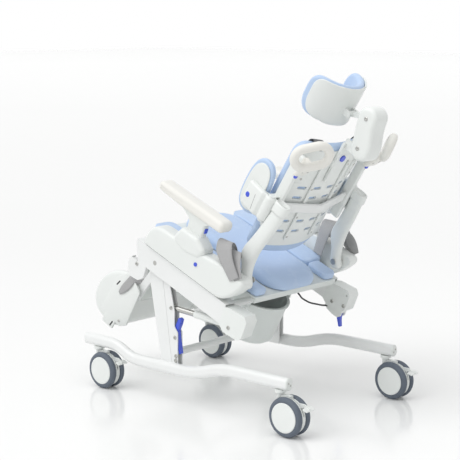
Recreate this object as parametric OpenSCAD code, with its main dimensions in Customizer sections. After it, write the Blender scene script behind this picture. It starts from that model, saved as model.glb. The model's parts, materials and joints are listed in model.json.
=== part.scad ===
// Tilting hygiene chair on a wheeled base. The occupant faces -Y, their left is +X, +Z is up.
// Every size is in millimetres. The origin is on the floor, under the middle of the chair.

/* [Base] */
// Distance between the left and right casters
track_w = 550; // [500:10:620]
// Distance between the front and rear casters
wheelbase = 810; // [760:10:900]
// Width of the oval side rail tube
rail_w = 30; // [26:1:34]
// Height of the oval side rail tube
rail_h = 40; // [36:1:46]
// Wall of the side rail tube
rail_wall = 3; // [2:0.5:5]
// Depth of the upright channel at its foot
upright_depth = 74; // [66:1:84]
// Width of the upright channel
upright_w = 24; // [22:1:30]
// Height of the tilt pivot over the floor
pivot_z = 465; // [440:5:500]

/* [Casters] */
// Wheel diameter
wheel_d = 125; // [100:1:130]
// Width of one wheel of a twin caster
wheel_w = 21; // [16:1:24]
// Space between the two wheels of a caster
wheel_gap = 18; // [16:1:24]
// Distance from the swivel stem back to the axle
caster_trail = 36; // [28:1:44]
// Axle diameter
axle_d = 12; // [8:1:16]

/* [Tilting frame] */
// Tilt of the seat from level, in degrees
seat_tilt = 23; // [15:1:30]
// Outer width of the frame rail channel
channel_w = 46; // [44:1:52]
// Height of the frame rail channel
channel_h = 70; // [60:1:80]
// Wall of the frame rail channel
channel_wall = 3; // [2:0.5:4]
// Length of the frame rail behind the pivot
channel_len = 322; // [300:2:350]

/* [Seat] */
// Thickness of the middle cushion
cushion_h = 38; // [30:1:50]
// Thickness of the side cushions
side_cushion_h = 27; // [20:1:34]
// Width of the middle cushion
centre_cushion_w = 236; // [200:2:250]
// Depth of the seat, front to rear
seat_depth = 462; // [430:2:480]
// Height of the side panel
panel_h = 96; // [80:1:105]

/* [Armrests] */
// Length of the arm pad
arm_pad_len = 298; // [250:2:320]
// Height of the arm pad
arm_pad_h = 38; // [30:1:46]
// Width of the arm pad
arm_pad_w = 56; // [46:1:64]

/* [Back] */
// Recline of the back from square to the seat, in degrees
recline = 9; // [4:1:15]
// Height of the back shell
back_h = 368; // [320:2:400]
// Half width of the back shell
back_half_w = 162; // [150:1:168]
// Thickness of the back cushion
back_pad_t = 32; // [24:1:40]
// Radius of the curve of the back shell
back_r = 365; // [320:5:450]
// Diameter of the push handle grip
grip_d = 28; // [22:1:32]

/* [Collection pan] */
// Diameter of the pan under the seat
pan_d = 196; // [180:2:210]
// Depth of the pan
pan_h = 150; // [120:2:160]
// Wall of the pan
pan_wall = 3; // [2:0.5:4]

/* [Head support] */
// Height of the headrest
head_h = 132; // [110:2:150]
// Radius of the curve of the headrest
head_r = 110; // [100:1:125]
// Thickness of the headrest cushion
head_pad_t = 24; // [16:1:30]

/* [Footrest] */
// Half width of the footrest
foot_half_w = 176; // [150:2:188]
// Wall of the footrest shell
foot_wall = 5; // [3:0.5:8]

/* [Hidden] */
$fn = 48;

white = [0.93, 0.94, 0.93];
cream = [0.92, 0.91, 0.86];
foam_blue = [0.68, 0.76, 0.88];
button_blue = [0.16, 0.28, 0.85];
webbing = [0.60, 0.60, 0.61];
steel = [0.72, 0.72, 0.70];
tyre_grey = [0.30, 0.33, 0.37];
black = [0.08, 0.08, 0.08];

// Fits
run_fit = 0.05;       // radial clearance of a turning pin
slide_fit = 0.5;      // clearance round a sliding post
soft_gap = 0.3;       // clearance between a cushion and its neighbour
eps = 0.01;

// The middle of the wheelbase lies a little behind the origin, which is under the middle of the chair
base_y = 24;

// Base
axle_z = wheel_d / 2;
rail_x = track_w / 2;
rail_bead = 0.1;          // step in the tube's section where a bend meets a straight length
rail_front_z = 158;
rail_low_z = 122;
rail_rear_z = 160;
rail_front_y = -(wheelbase / 2 + 91);
rail_rear_y = wheelbase / 2 - 7;
front_bend_y = -390;      // the rail starts to dip here, behind the front caster
front_bend_len = 150;
rear_bend_y = -50;        // the rail starts to rise here, behind the upright
rear_bend_len = 240;
upright_x = rail_x - 17;   // middle of the upright
upright_wall = 3.5;
upright_rear_y = -71;
upright_bottom_z = 110;
upright_neck = 30;        // radius of the upright's head round the tilt pivot
pivot_y = -155;
pivot_d = 16;
cross_tube_d = 25;
cross_tube_pos = [-92, 172];
lever_pin = [-82, 225];
strut_pin = [-99, 321];
pin_d = 8;
bolt_head_d = 14;
bolt_head_h = 3;

// Casters
stem_y = caster_trail;
hood_w = wheel_gap - 3;
hood_r = 56;
pedal_pivot = [32, 40];   // from the axle: to the rear, up
pedal_w = 5;
pedal_fit = 0.5;
pedal_pin_d = 5;

// Tilting frame, measured in the seat's own frame: X across, Y to the rear, Z square to the seat
channel_x = rail_x - 11;   // middle of the frame rail
channel_front = -100;
channel_top = 36;
channel_bottom = channel_top - channel_h;
bracket_bolt = [361, -25];
bracket_len = 98;
bracket_w = 50;
strut_eye_d = 26;
strut_d = 24;
strut_sleeve_d = 26;
strut_rod_d = 12;
strut_gap = 1;
accessory_bore_d = 7;
frame_beam_d = 24;

// Seat
shell_t = 20;
shell_plate = 5;          // thickness of the shell's moulding
shell_top = 70;
seat_front = -98;
skirt_x = channel_x - 15;
panel_in_x = channel_x - 14;
panel_out_x = channel_x + 38;
panel_wall = 4;
panel_bottom = channel_top;
side_cushion_out = channel_x - 24;
opening_w = 150;
opening_y = 236;
chute_bottom = 26;
runner_len = 104;
pan_top = -26;
pan_lip = 6;

// Armrests
arm_x = channel_x + 8;
post_w = 26;
post_len = 70;
post_y = 112;
post_top = 232;
post_bottom = 104;
boss_top = 176;
boss_wall = 6;
arm_pad_y = 76;
arm_pad_z = post_top;
key_size = [12, 8, 16];
key_z = 192;
button_d = 13;
button_pos = [172, 97];

// Back, measured in its own frame: X across, Y to the rear, Z up along the back
hinge_pos = [330, 118];
hinge_x = channel_x - 35;
hinge_boss_d = 50;
hinge_boss_w = 34;
hinge_pin_d = 12;
arm_top_x = back_half_w + 34;
arm_tube = [30, 50];
arm_tube_y = -30;
sleeve_top = 272;
strip_x = back_half_w + 14;
strip_top = 432;
lip_x = back_half_w - 12;  // inner edge of the lip that carries the shell
shell_y = -48;
shell_bottom = 72;
back_shell_t = 6;
back_top = shell_bottom + back_h;
lip_y = shell_y - back_r + sqrt(back_r * back_r - lip_x * lip_x) + soft_gap;
bar_h = 34;

// Side supports of the back
lateral_pin = [207, -74];
lateral_z = [186, 268];
lateral_pin_d = 10;
lateral_barrel_d = 30;
lateral_pad_x = 198;
lateral_pad_t = 22;
lateral_button_pos = [-146, 224];
lateral_button_d = 17;

// Head support, in the back's frame
slider_w = 58;
slider_z = [330, 478];
knee_w = 72;
knee_low = [10, 497];
knee_high = [-12, 590];
knee_low_d = 74;
knee_high_d = 72;
head_pivot = [-86, 556];
head_centre_y = -212;
head_mid_z = 566;

// Footrest, in the seat's frame
foot_pivot = [-72, -44];
hanger_x = 154;
hanger_w = 14;
hanger_d = 28;
guide_at = 165;           // distance of the guide from the pivot, along the arm
guide_len = 60;
hanger_end = [-150, -262];
foot_pin_d = 10;

// Route of the trigger cable in the seat's frame: out of the seat shell and across to the trigger
cable_d = 6;
cable_route = [
    [-40, 343, 45.7], [-40, 343, 41], [-43, 347, 34], [-53, 351, 25], [-64, 350, 16], [-78, 347, 7],
    [-96, 342, -3], [-117, 340, -14], [-140, 339, -25], [-163, 338, -34], [-186, 338, -41],
    [-208, 338, -48], [-226, 339, -53], [-240, 341, -55], [-249.5, 343, -56]
];

// ---------- frames ----------

module base_frame() {
    translate([0, base_y, 0]) children();
}

module seat_frame() {
    base_frame() translate([0, pivot_y, pivot_z]) rotate([-seat_tilt, 0, 0]) children();
}

module back_frame() {
    seat_frame() translate([0, hinge_pos[0], hinge_pos[1]]) rotate([-recline, 0, 0]) children();
}

module both_sides() {
    children();
    mirror([1, 0, 0]) children();
}

module on_side(side) {
    if (side > 0) children();
    else mirror([1, 0, 0]) children();
}

// ---------- shapes ----------

// An oval: a rectangle with two round ends
module oval(w, h) {
    square([w, h - w], center = true);
    for (end = [-1, 1]) translate([0, end * (h - w) / 2]) circle(d = w);
}

module round_rect(w, h, r) {
    square([w, h - 2 * r], center = true);
    square([w - 2 * r, h], center = true);
    for (sx = [-1, 1]) for (sy = [-1, 1]) translate([sx * (w / 2 - r), sy * (h / 2 - r)]) circle(r = r);
}

// A plate drawn in Y and Z and given a thickness from x0 to x1
module side_plate(x0, x1) {
    translate([x0, 0, 0]) rotate([90, 0, 90]) linear_extrude(height = x1 - x0) children();
}

// A pin along X from x0 to x1 through the point [y, z]
module cross_pin(x0, x1, at, d) {
    translate([x0, at[0], at[1]]) rotate([0, 90, 0]) cylinder(d = d, h = x1 - x0);
}

module bolt_head(x, at, side) {
    translate([x, at[0], at[1]]) rotate([0, 90 * side, 0]) {
        difference() {
            cylinder(d1 = bolt_head_d, d2 = bolt_head_d - 3, h = bolt_head_h);
            translate([0, 0, 1]) cylinder(d = 5, h = bolt_head_h, $fn = 6);
        }
    }
}

module rounded(r) {
    offset(r = r) offset(delta = -r) children();
}

// ---------- base ----------

// One straight length of the side rail's section: it starts at [y, z] and points down the slope
module rail_run(at, length, slope, inset) {
    translate([0, at[0], at[1]]) rotate([-90 + slope, 0, 0]) linear_extrude(height = length)
        oval(rail_w - 2 * inset, rail_h - 2 * inset);
}

// One bend of the side rail's section about the centre c, from the angle a0 over the sweep.
// It is a hair thinner than the straight lengths, which reach into it as the weld beads do.
module rail_bend(c, r, a0, sweep, inset) {
    w = rail_w - 2 * inset - rail_bead;
    h = rail_h - 2 * inset - rail_bead;
    translate([0, c[0], c[1]]) rotate([90, 0, 90]) rotate([0, 0, a0]) rotate_extrude(angle = sweep)
        translate([r, 0]) rotate(90) oval(w, h);
}

// Angle and radius of an S bend that changes height by rise over the length run
function bend_angle(rise, run) = 2 * atan(rise / run);
function bend_radius(rise, run) = run / (2 * sin(bend_angle(rise, run)));

// The whole rail as a solid bar, its section shrunk by inset and its ends moved out by extra
module rail_bar(inset, extra) {
    dip = rail_front_z - rail_low_z;
    a1 = bend_angle(dip, front_bend_len);
    r1 = bend_radius(dip, front_bend_len);
    climb = rail_rear_z - rail_low_z;
    a2 = bend_angle(climb, rear_bend_len);
    r2 = bend_radius(climb, rear_bend_len);
    y1 = front_bend_y + front_bend_len;
    y2 = rear_bend_y + rear_bend_len;
    rail_run([rail_front_y - extra, rail_front_z], front_bend_y + 1 - rail_front_y + extra, 0, inset);
    rail_bend([front_bend_y, rail_front_z - r1], r1, 90 - a1, a1, inset);
    rail_run([y1 - front_bend_len / 2 - cos(a1), rail_low_z + dip / 2 + sin(a1)], 2, -a1, inset);
    rail_bend([y1, rail_low_z + r1], r1, -90 - a1, a1, inset);
    rail_run([y1 - 1, rail_low_z], rear_bend_y - y1 + 2, 0, inset);
    rail_bend([rear_bend_y, rail_low_z + r2], r2, -90, a2, inset);
    rail_run([y2 - rear_bend_len / 2 - cos(a2), rail_low_z + climb / 2 - sin(a2)], 2, a2, inset);
    rail_bend([y2, rail_rear_z - r2], r2, 90, a2, inset);
    rail_run([y2 - 1, rail_rear_z], rail_rear_y - y2 + 1 + extra, 0, inset);
}

module one_rail() {
    difference() {
        rail_bar(0, 0);
        rail_bar(rail_wall, 1);
    }
}

module side_rails() {
    color(white) base_frame() both_sides() translate([rail_x, 0, 0]) one_rail();
}

// A plug in each end of the side rails: an oval lid with a spigot in the tube
module rail_cap() {
    rotate([-90, 0, 0]) {
        linear_extrude(height = 4) oval(rail_w, rail_h);
        translate([0, 0, 4]) linear_extrude(height = 2) oval(rail_w - 4, rail_h - 4);
        translate([0, 0, -14]) linear_extrude(height = 14)
            oval(rail_w - 2 * rail_wall - 1, rail_h - 2 * rail_wall - 1);
    }
}

module rail_caps() {
    color(cream) base_frame() both_sides() translate([rail_x, 0, 0]) {
        translate([0, rail_rear_y, rail_rear_z]) rail_cap();
        translate([0, rail_front_y, rail_front_z]) mirror([0, 1, 0]) rail_cap();
    }
}

// Side view of the upright in Y and Z: it leans forward and ends in a round head at the pivot
module upright_outline() {
    front = upright_rear_y - upright_depth;
    r = upright_neck;
    polygon([
        [front + 5, upright_bottom_z], [front - 51, 412], [pivot_y - r, pivot_z - 12], [pivot_y, pivot_z],
        [pivot_y + r, pivot_z - 10], [upright_rear_y - 33, 397], [upright_rear_y - 13, 312],
        [upright_rear_y - 14, 262], [upright_rear_y, 242], [upright_rear_y, upright_bottom_z]
    ]);
    translate([pivot_y, pivot_z]) circle(r = r);
}

// The inside of the channel, open to the rear
module upright_pocket() {
    front = upright_rear_y - upright_depth + upright_wall;
    polygon([
        [front + 5, upright_bottom_z - 1], [front - 51, 412], [front - 40, pivot_z + 60],
        [front + 160, pivot_z + 60], [front + 160, upright_bottom_z - 1]
    ]);
}

module one_upright() {
    x0 = upright_x - upright_w / 2;
    x1 = upright_x + upright_w / 2;
    difference() {
        side_plate(x0, x1) upright_outline();
        side_plate(x0 + upright_wall, x1 - upright_wall) upright_pocket();
        // a shallow groove down the outer face
        side_plate(x1 - 1.2, x1 + 1) polygon([[-135, 408], [-128, 408], [-91, 138], [-98, 138]]);
        cross_pin(x0 - 1, x1 + 1, [pivot_y, pivot_z], pivot_d + 2 * run_fit);
        // the foot saddles the side rail
        translate([rail_x, -300, rail_low_z]) rotate([-90, 0, 0])
            linear_extrude(height = 400) oval(rail_w, rail_h);
        cross_pin(x0 - 1, x1 + 1, lever_pin, pin_d);
        cross_pin(x0 - 1, x1 + 1, strut_pin, pin_d);
    }
}

// The two uprights and the tube welded between them
module upright_frame() {
    half = upright_x - upright_w / 2;
    color(white) base_frame() {
        both_sides() one_upright();
        difference() {
            cross_pin(-half, half, cross_tube_pos, cross_tube_d);
            cross_pin(-half - 1, half + 1, cross_tube_pos, cross_tube_d - 5);
        }
    }
}

module upright_bolt(at) {
    x0 = upright_x - upright_w / 2;
    x1 = upright_x + upright_w / 2;
    cross_pin(x0, x1, at, pin_d);
    bolt_head(x1, at, 1);
    bolt_head(x0, at, -1);
}

module base_bolts() {
    foot_screws = [[-78, 164], [-79, 149]];
    color(steel) base_frame() {
        both_sides() {
            upright_bolt(lever_pin);
            upright_bolt(strut_pin);
            for (p = foot_screws) bolt_head(upright_x + upright_w / 2, p, 1);
            for (end = [-1, 1]) translate([rail_x + end * 5, rail_rear_y + 6, rail_rear_z + end * 4])
                rotate([-90, 0, 0]) cylinder(d = 6, h = 1.5);
        }
    }
}

// Hand lever in the left upright: it hooks out of the channel above its pin and hangs below it
module release_lever() {
    w = 14;
    outline = [
        [13, 68], [24, 62], [18, 44], [8, 24], [10, 0], [14, -20], [19, -52],
        [14, -56], [7, -30], [-4, -8], [-10, 6], [-8, 26], [2, 48]
    ];
    color(button_blue) base_frame() translate([upright_x, lever_pin[0], lever_pin[1]]) difference() {
        side_plate(-w / 2, w / 2) rounded(3) polygon(outline);
        cross_pin(-w, w, [0, 0], pin_d + 2 * run_fit);
    }
}

// ---------- casters ----------

// Frame of a caster: origin on the floor under the axle
module caster_frame(end, side) {
    base_frame() translate([side * track_w / 2, end * wheelbase / 2, 0]) children();
}

module caster_fork(end, side) {
    top = end > 0 ? rail_rear_z - rail_h / 2 : rail_front_z - rail_h / 2;
    color(white) caster_frame(end, side) {
        difference() {
            union() {
                cross_pin(-hood_w / 2, hood_w / 2, [0, axle_z], 2 * hood_r);
                translate([0, -stem_y, axle_z]) cylinder(d = hood_w + 8, h = top - axle_z - 8);
                translate([0, -stem_y, top - 8]) cylinder(d = 36, h = 8 - eps);
                translate([-hood_w / 2, -stem_y, axle_z + 20]) cube([hood_w, stem_y + 8, 44]);
            }
            // the wheels turn beside the web, and the pedal works in a slot in it
            for (s = [-1, 1]) cross_pin(s > 0 ? hood_w / 2 : -hood_w / 2 - 40,
                s > 0 ? hood_w / 2 + 40 : -hood_w / 2, [0, axle_z], wheel_d + 4);
            translate([-pedal_w / 2 - pedal_fit, 8, axle_z + 8])
                cube([pedal_w + 2 * pedal_fit, hood_r, 80]);
            cross_pin(-20, 20, [pedal_pivot[0], axle_z + pedal_pivot[1]], pedal_pin_d);
            cross_pin(-20, 20, [0, axle_z], axle_d);
        }
        // axle and pedal pin
        cross_pin(-wheel_gap / 2 - wheel_w + 5, wheel_gap / 2 + wheel_w - 5, [0, axle_z], axle_d);
        cross_pin(-hood_w / 2, hood_w / 2, [pedal_pivot[0], axle_z + pedal_pivot[1]], pedal_pin_d);
    }
}

// One wheel: a rubber tyre round a dished plastic hub, with its open side to -X
module one_wheel() {
    tread = 9;
    hub_r = wheel_d / 2 - tread - 8;
    rotate([0, 90, 0]) {
        color(tyre_grey) rotate_extrude($fn = 64) polygon([
            [hub_r, 1], [wheel_d / 2 - 7, 1], [wheel_d / 2 - 1.5, 4.5], [wheel_d / 2, 10],
            [wheel_d / 2 - 0.8, 15], [wheel_d / 2 - 3.5, wheel_w - 2], [wheel_d / 2 - 8, wheel_w],
            [hub_r, wheel_w]
        ]);
        color(white) rotate_extrude($fn = 64) polygon([
            [axle_d / 2 + run_fit, 0], [hub_r, 1], [hub_r, wheel_w + 0.5], [hub_r * 0.5, wheel_w + 2],
            [0, wheel_w + 2.5], [0, wheel_w - 4.5], [axle_d / 2 + run_fit, wheel_w - 4.5]
        ]);
    }
}

module twin_wheels(end, side) {
    caster_frame(end, side) translate([0, 0, axle_z]) for (s = [0, 1]) mirror([s, 0, 0])
        translate([wheel_gap / 2, 0, 0]) one_wheel();
}

module brake_pedal(end, side) {
    arm = [[-8, -6], [6, -8], [24, -2], [40, -8], [46, -8], [46, -1], [26, 8], [4, 8], [-8, 5]];
    color(white) caster_frame(end, side) translate([0, pedal_pivot[0], axle_z + pedal_pivot[1]]) {
        difference() {
            side_plate(-pedal_w / 2, pedal_w / 2) polygon(arm);
            cross_pin(-20, 20, [0, 0], pedal_pin_d + 2 * run_fit);
        }
        // foot plate behind the wheels
        side_plate(pedal_w / 2, 19) polygon([[33, -5], [48, -10], [50, -6], [35, 1]]);
        side_plate(-19, -pedal_w / 2) polygon([[33, -5], [48, -10], [50, -6], [35, 1]]);
    }
}

// ---------- tilt strut ----------

// Where the strut's two pins are: on the left upright and in the left rear bracket
function seat_to_base(p) = [
    pivot_y + p[0] * cos(seat_tilt) + p[1] * sin(seat_tilt),
    pivot_z - p[0] * sin(seat_tilt) + p[1] * cos(seat_tilt)
];
strut_end = seat_to_base(bracket_bolt);
strut_len = norm(strut_end - strut_pin);
strut_angle = atan2(strut_end[1] - strut_pin[1], strut_end[0] - strut_pin[0]);
cylinder_len = 128;

// Frame of the strut: origin at the pin on the upright, Y along the strut
module strut_frame() {
    base_frame() translate([upright_x, strut_pin[0], strut_pin[1]]) rotate([strut_angle, 0, 0]) children();
}

module along_y(y0, y1, d) {
    translate([0, y0, 0]) rotate([-90, 0, 0]) cylinder(d = d, h = y1 - y0);
}

module strut_cylinder() {
    eye = upright_w / 2 - upright_wall - 0.5;
    color(steel) strut_frame() difference() {
        union() {
            along_y(7, 26, strut_d - 10);
            along_y(24, cylinder_len, strut_d - 4);
            cross_pin(-eye, eye, [0, 0], strut_eye_d - 4);
        }
        cross_pin(-20, 20, [0, 0], pin_d + 2 * run_fit);
        along_y(40, cylinder_len + 1, strut_rod_d + 2 * run_fit);
    }
}

module strut_rod() {
    color(white) strut_frame() {
        difference() {
            union() {
                along_y(60, strut_len - 6, strut_rod_d);
                cross_pin(-11, 11, [strut_len, 0], strut_eye_d + 4);
                // bellows sleeve over the open end of the cylinder
                difference() {
                    along_y(100, strut_len - 12, strut_sleeve_d);
                    along_y(99, strut_len - 20, strut_d - 4 + 2 * strut_gap);
                }
            }
            cross_pin(-20, 20, [strut_len, 0], pin_d + 12);
        }
    }
}

// ---------- tilting frame ----------

module frame_rail() {
    x0 = channel_x - channel_w / 2;
    x1 = channel_x + channel_w / 2;
    wing = [
        [-62, -20], [-100, -28], [-112, -50], [-104, -84], [-84, -98], [-48, -94], [-30, -74], [-30, -34]
    ];
    difference() {
        translate([x0, channel_front, channel_bottom])
            cube([channel_w, channel_len - channel_front, channel_h]);
        // the channel is open underneath
        translate([x0 + channel_wall, channel_front + channel_wall, channel_bottom - 1])
            cube([channel_w - 2 * channel_wall, channel_len - channel_front - channel_wall + 1,
                channel_h - channel_wall + 1]);
        // its lower front corner is cut away at a slope
        side_plate(x0 - 1, x1 + 1) polygon([
            [channel_front - 1, channel_bottom - 1], [channel_front + 30, channel_bottom - 1],
            [channel_front - 1, channel_top - 14]
        ]);
        cross_pin(x0 - 1, x1 + 1, [0, 0], pivot_d);
    }
    // footrest mount: a rounded lug under the front of the rail
    difference() {
        side_plate(upright_x + upright_w / 2 + 1.5, x1) difference() {
            rounded(10) polygon(wing);
            translate([-100, channel_bottom]) square([200, 80]);
        }
        cross_pin(x1 - 40, x1 + 1, foot_pivot, foot_pin_d);
    }
}

module frame_rails() {
    half = channel_x - channel_w / 2;
    color(white) seat_frame() {
        both_sides() frame_rail();
        // two beams tie the rails together under the seat
        for (y = [70, 296]) cross_pin(-half, half, [y, 10], frame_beam_d);
    }
}

module rear_bracket() {
    x0 = channel_x - bracket_w / 2;
    x1 = channel_x + bracket_w / 2;
    rear = channel_len + bracket_len;
    outline = [
        [channel_len, 27], [channel_len + 16, 34], [rear - 14, 42], [rear, 28],
        [rear, -28], [rear - 14, -44], [rear - 74, -50], [channel_len, channel_bottom]
    ];
    plug_w = channel_w - 2 * channel_wall - 0.4;
    difference() {
        union() {
            side_plate(x0, x1) polygon(outline);
            // tongue in the end of the channel
            translate([channel_x - plug_w / 2, channel_len - 20, 14])
                cube([plug_w, 21, 13]);
        }
        // slot for the strut's eye, open to the front and underneath
        translate([upright_x - 13.7, channel_len - 1, -60]) cube([27.4, 66, 68]);
        cross_pin(x0 - 1, x1 + 1, bracket_bolt, pin_d);
        cross_pin(x0 - 1, x0 + 5, [channel_len + 86, 24], accessory_bore_d);
    }
}

module rear_brackets() {
    color(white) seat_frame() both_sides() rear_bracket();
}

module frame_bolts() {
    x0 = channel_x - channel_w / 2;
    x1 = channel_x + channel_w / 2;
    b0 = channel_x - bracket_w / 2;
    b1 = channel_x + bracket_w / 2;
    hinge_end = hinge_x - hinge_boss_w / 2 - 4;
    color(steel) seat_frame() both_sides() {
        // tilt pivot
        cross_pin(x0, x1, [0, 0], pivot_d);
        translate([x0 - 3, 0, 0]) rotate([0, 90, 0]) cylinder(d = 26, h = 3);
        cross_pin(upright_x + upright_w / 2 + 0.5, x1 - channel_wall, [0, 0], 26);
        // strut bolt
        cross_pin(b0, b1, bracket_bolt, pin_d);
        bolt_head(b1, bracket_bolt, 1);
        bolt_head(b0, bracket_bolt, -1);
        bolt_head(b0, [channel_len + 88, -16], -1);
        // back hinge pin, from the back's arm into the side panel
        cross_pin(hinge_end, panel_in_x + 14, hinge_pos, hinge_pin_d);
        translate([hinge_end - 3, hinge_pos[0], hinge_pos[1]]) rotate([0, 90, 0]) cylinder(d = 20, h = 3);
        // footrest pin
        cross_pin(x0 - 24, x1, foot_pivot, foot_pin_d);
        bolt_head(x1, foot_pivot, 1);
    }
}

// ---------- seat ----------

// A moulded tray, its skirt standing on the frame rails, with a chute down into the pan
module seat_shell() {
    mid = seat_front + seat_depth / 2;
    bottom = shell_top - shell_t;
    skirt = skirt_x - 8;
    color(white) seat_frame() {
        difference() {
            union() {
                difference() {
                    translate([0, mid, bottom]) linear_extrude(height = shell_t)
                        round_rect(2 * skirt_x - 1, seat_depth, 40);
                    translate([0, mid, bottom - 1]) linear_extrude(height = shell_t - shell_plate + 1)
                        round_rect(2 * skirt_x - 1 - 2 * shell_plate, seat_depth - 2 * shell_plate, 36);
                }
                both_sides() translate([skirt, channel_front + 60, channel_top])
                    cube([7.5, channel_len - channel_front - 76, shell_top - channel_top - 4]);
                // chute round the opening, and the two runners the pan slides on
                translate([0, opening_y, chute_bottom])
                    cylinder(d = opening_w + 8, h = shell_top - 2 - chute_bottom, $fn = 64);
                both_sides() translate([pan_d / 2 + 1, opening_y - 58, pan_top - 10])
                    cube([10, runner_len, shell_top - shell_plate - pan_top + 11]);
                // gland of the trigger cable
                translate([cable_route[0][0], cable_route[0][1], cable_route[0][2]])
                    translate([0, 0, soft_gap]) cylinder(d = 16, h = shell_top - cable_route[0][2] - 2);
            }
            translate([0, opening_y, -100]) cylinder(d = opening_w, h = 300, $fn = 64);
            // grooves of the runners
            both_sides() translate([pan_d / 2 - 5, opening_y - 59, pan_top - pan_lip - slide_fit])
                cube([11, runner_len + 2, pan_lip + 2 * slide_fit]);
            // room for the back's arms
            both_sides() translate([hinge_x - hinge_boss_w / 2 - 6, 294, 0]) cube([100, 200, 100]);
        }
    }
}

// A round pan with a lip that slides in the runners
module collection_pan() {
    r = pan_d / 2;
    color(white) seat_frame() translate([0, opening_y, pan_top]) rotate_extrude($fn = 96) polygon([
        [0, -pan_h], [r - 22, -pan_h], [r - 10, -pan_h + 12], [r - 1, -20], [r - 1, -pan_lip],
        [r + 5, -pan_lip], [r + 5, 0], [r - 1 - pan_wall, 0], [r - 1 - pan_wall, -20],
        [r - 10 - pan_wall, -pan_h + 13], [r - 24, -pan_h + pan_wall], [0, -pan_h + pan_wall]
    ]);
}

module cushion(x0, x1, y0, y1, z, h, r) {
    translate([(x0 + x1) / 2, (y0 + y1) / 2, z]) linear_extrude(height = h)
        round_rect(x1 - x0, y1 - y0, r);
}

module seat_centre_cushion() {
    half = centre_cushion_w / 2;
    color(foam_blue) seat_frame()
        cushion(-half, half, seat_front, seat_front + seat_depth + 6, shell_top + soft_gap, cushion_h, 60);
}

module seat_side_cushions() {
    rear = seat_front + seat_depth;
    inner = centre_cushion_w / 2 + 30;
    color(foam_blue) seat_frame() both_sides() {
        cushion(inner, side_cushion_out, seat_front + 2, 270, shell_top + soft_gap, side_cushion_h, 26);
        cushion(inner, hinge_x - hinge_boss_w / 2 - 8, 272, rear - 4, shell_top + soft_gap,
            side_cushion_h, 16);
    }
}

// Outline of a side panel in Y and Z, and the same outline of the hollow inside it
module panel_outline() {
    top = panel_bottom + panel_h;
    rounded(14) polygon([
        [-62, panel_bottom], [288, panel_bottom], [330, panel_bottom + 22], [372, 110], [378, 128],
        [366, 142], [330, top + 6], [250, top + 18], [170, top + 4], [60, top - 2], [-14, top - 2],
        [-50, top - 26], [-66, top - 62]
    ]);
}

module boss_outline() {
    top = panel_bottom + panel_h;
    polygon([
        [56, top - 12], [78, boss_top], [134, boss_top], [160, boss_top - 8], [176, top + 2],
        [176, top - 12]
    ]);
}

module side_panel() {
    socket = [post_w + 2 * slide_fit, post_len + 2 * slide_fit];
    inner = panel_in_x + panel_wall;
    outer = panel_out_x - panel_wall;
    difference() {
        union() {
            difference() {
                side_plate(panel_in_x, panel_out_x) panel_outline();
                side_plate(inner, outer) offset(delta = -panel_wall) panel_outline();
            }
            difference() {
                side_plate(arm_x - post_w / 2 - boss_wall, arm_x + post_w / 2 + boss_wall) boss_outline();
                translate([0, 0, -6]) side_plate(inner, outer) offset(delta = -panel_wall) panel_outline();
            }
        }
        // socket of the arm post
        translate([arm_x, post_y, post_bottom - 20]) linear_extrude(height = 200)
            square(socket, center = true);
        // seat of the button
        cross_pin(outer - 2, panel_out_x + 1, button_pos, button_d + 2 * slide_fit);
        // hole for the back hinge pin
        cross_pin(panel_in_x - 1, panel_in_x + panel_wall + 1, hinge_pos, hinge_pin_d);
    }
    // boss for the hinge pin inside the panel
    difference() {
        cross_pin(inner, outer, hinge_pos, 30);
        cross_pin(inner - 1, panel_in_x + 14, hinge_pos, hinge_pin_d);
    }
}

module side_panels() {
    color(white) seat_frame() both_sides() side_panel();
}

module panel_button(side) {
    color(button_blue) seat_frame() on_side(side) {
        cross_pin(panel_out_x - 8, panel_out_x + 2, button_pos, button_d);
        cross_pin(panel_out_x - panel_wall - 2.3, panel_out_x - panel_wall - 0.3, button_pos, button_d + 4);
    }
}

// ---------- armrests ----------

module arm_post(side) {
    color(white) seat_frame() on_side(side) difference() {
        union() {
            translate([arm_x, post_y, post_bottom]) linear_extrude(height = post_top - post_bottom)
                round_rect(post_w, post_len, 8);
            // the head spreads forward under the pad
            side_plate(arm_x - post_w / 2, arm_x + post_w / 2) polygon([
                [post_y - post_len / 2 + 8, 196], [post_y - post_len / 2 - 4, 214],
                [post_y - post_len / 2 - 44, post_top], [post_y + post_len / 2 + 20, post_top],
                [post_y + post_len / 2 - 8, 216]
            ]);
        }
        // recess of the key
        translate([arm_x, post_y + post_len / 2 - key_size[1] - 2, key_z - slide_fit])
            translate([-key_size[0] / 2 - slide_fit, 0, 0])
            cube([key_size[0] + 2 * slide_fit, 30, key_size[2] + 2 * slide_fit]);
    }
}

module arm_pad(side) {
    color(cream) seat_frame() on_side(side)
        translate([arm_x, arm_pad_y + arm_pad_len / 2, arm_pad_z + arm_pad_h / 2 + soft_gap])
        rotate([90, 0, 0]) linear_extrude(height = arm_pad_len) round_rect(arm_pad_w, arm_pad_h, 18);
}

module arm_key(side) {
    color(button_blue) seat_frame() on_side(side)
        translate([arm_x - key_size[0] / 2, post_y + post_len / 2 - key_size[1] + 3, key_z]) cube(key_size);
}

// ---------- belts ----------

// A belt strip drawn in Y and Z: the line of points given a thickness
module strip(points, t) {
    for (i = [0 : len(points) - 2]) {
        a = points[i];
        b = points[i + 1];
        d = b - a;
        n = [-d[1], d[0]] / norm(d) * t / 2;
        polygon([a - n, b - n, b + n, a + n]);
        translate(b) circle(d = t, $fn = 16);
    }
}

// The hip belt: a loop that stands on the side cushion beside the panel
module hip_belts() {
    route = [[236, 99], [232, 136], [238, 172], [252, 186], [266, 174], [272, 140], [270, 99.1]];
    color(webbing) seat_frame() both_sides() side_plate(panel_in_x - 45, panel_in_x - 5) strip(route, 3);
}

// ---------- tilt trigger, under the right rear bracket ----------

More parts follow.
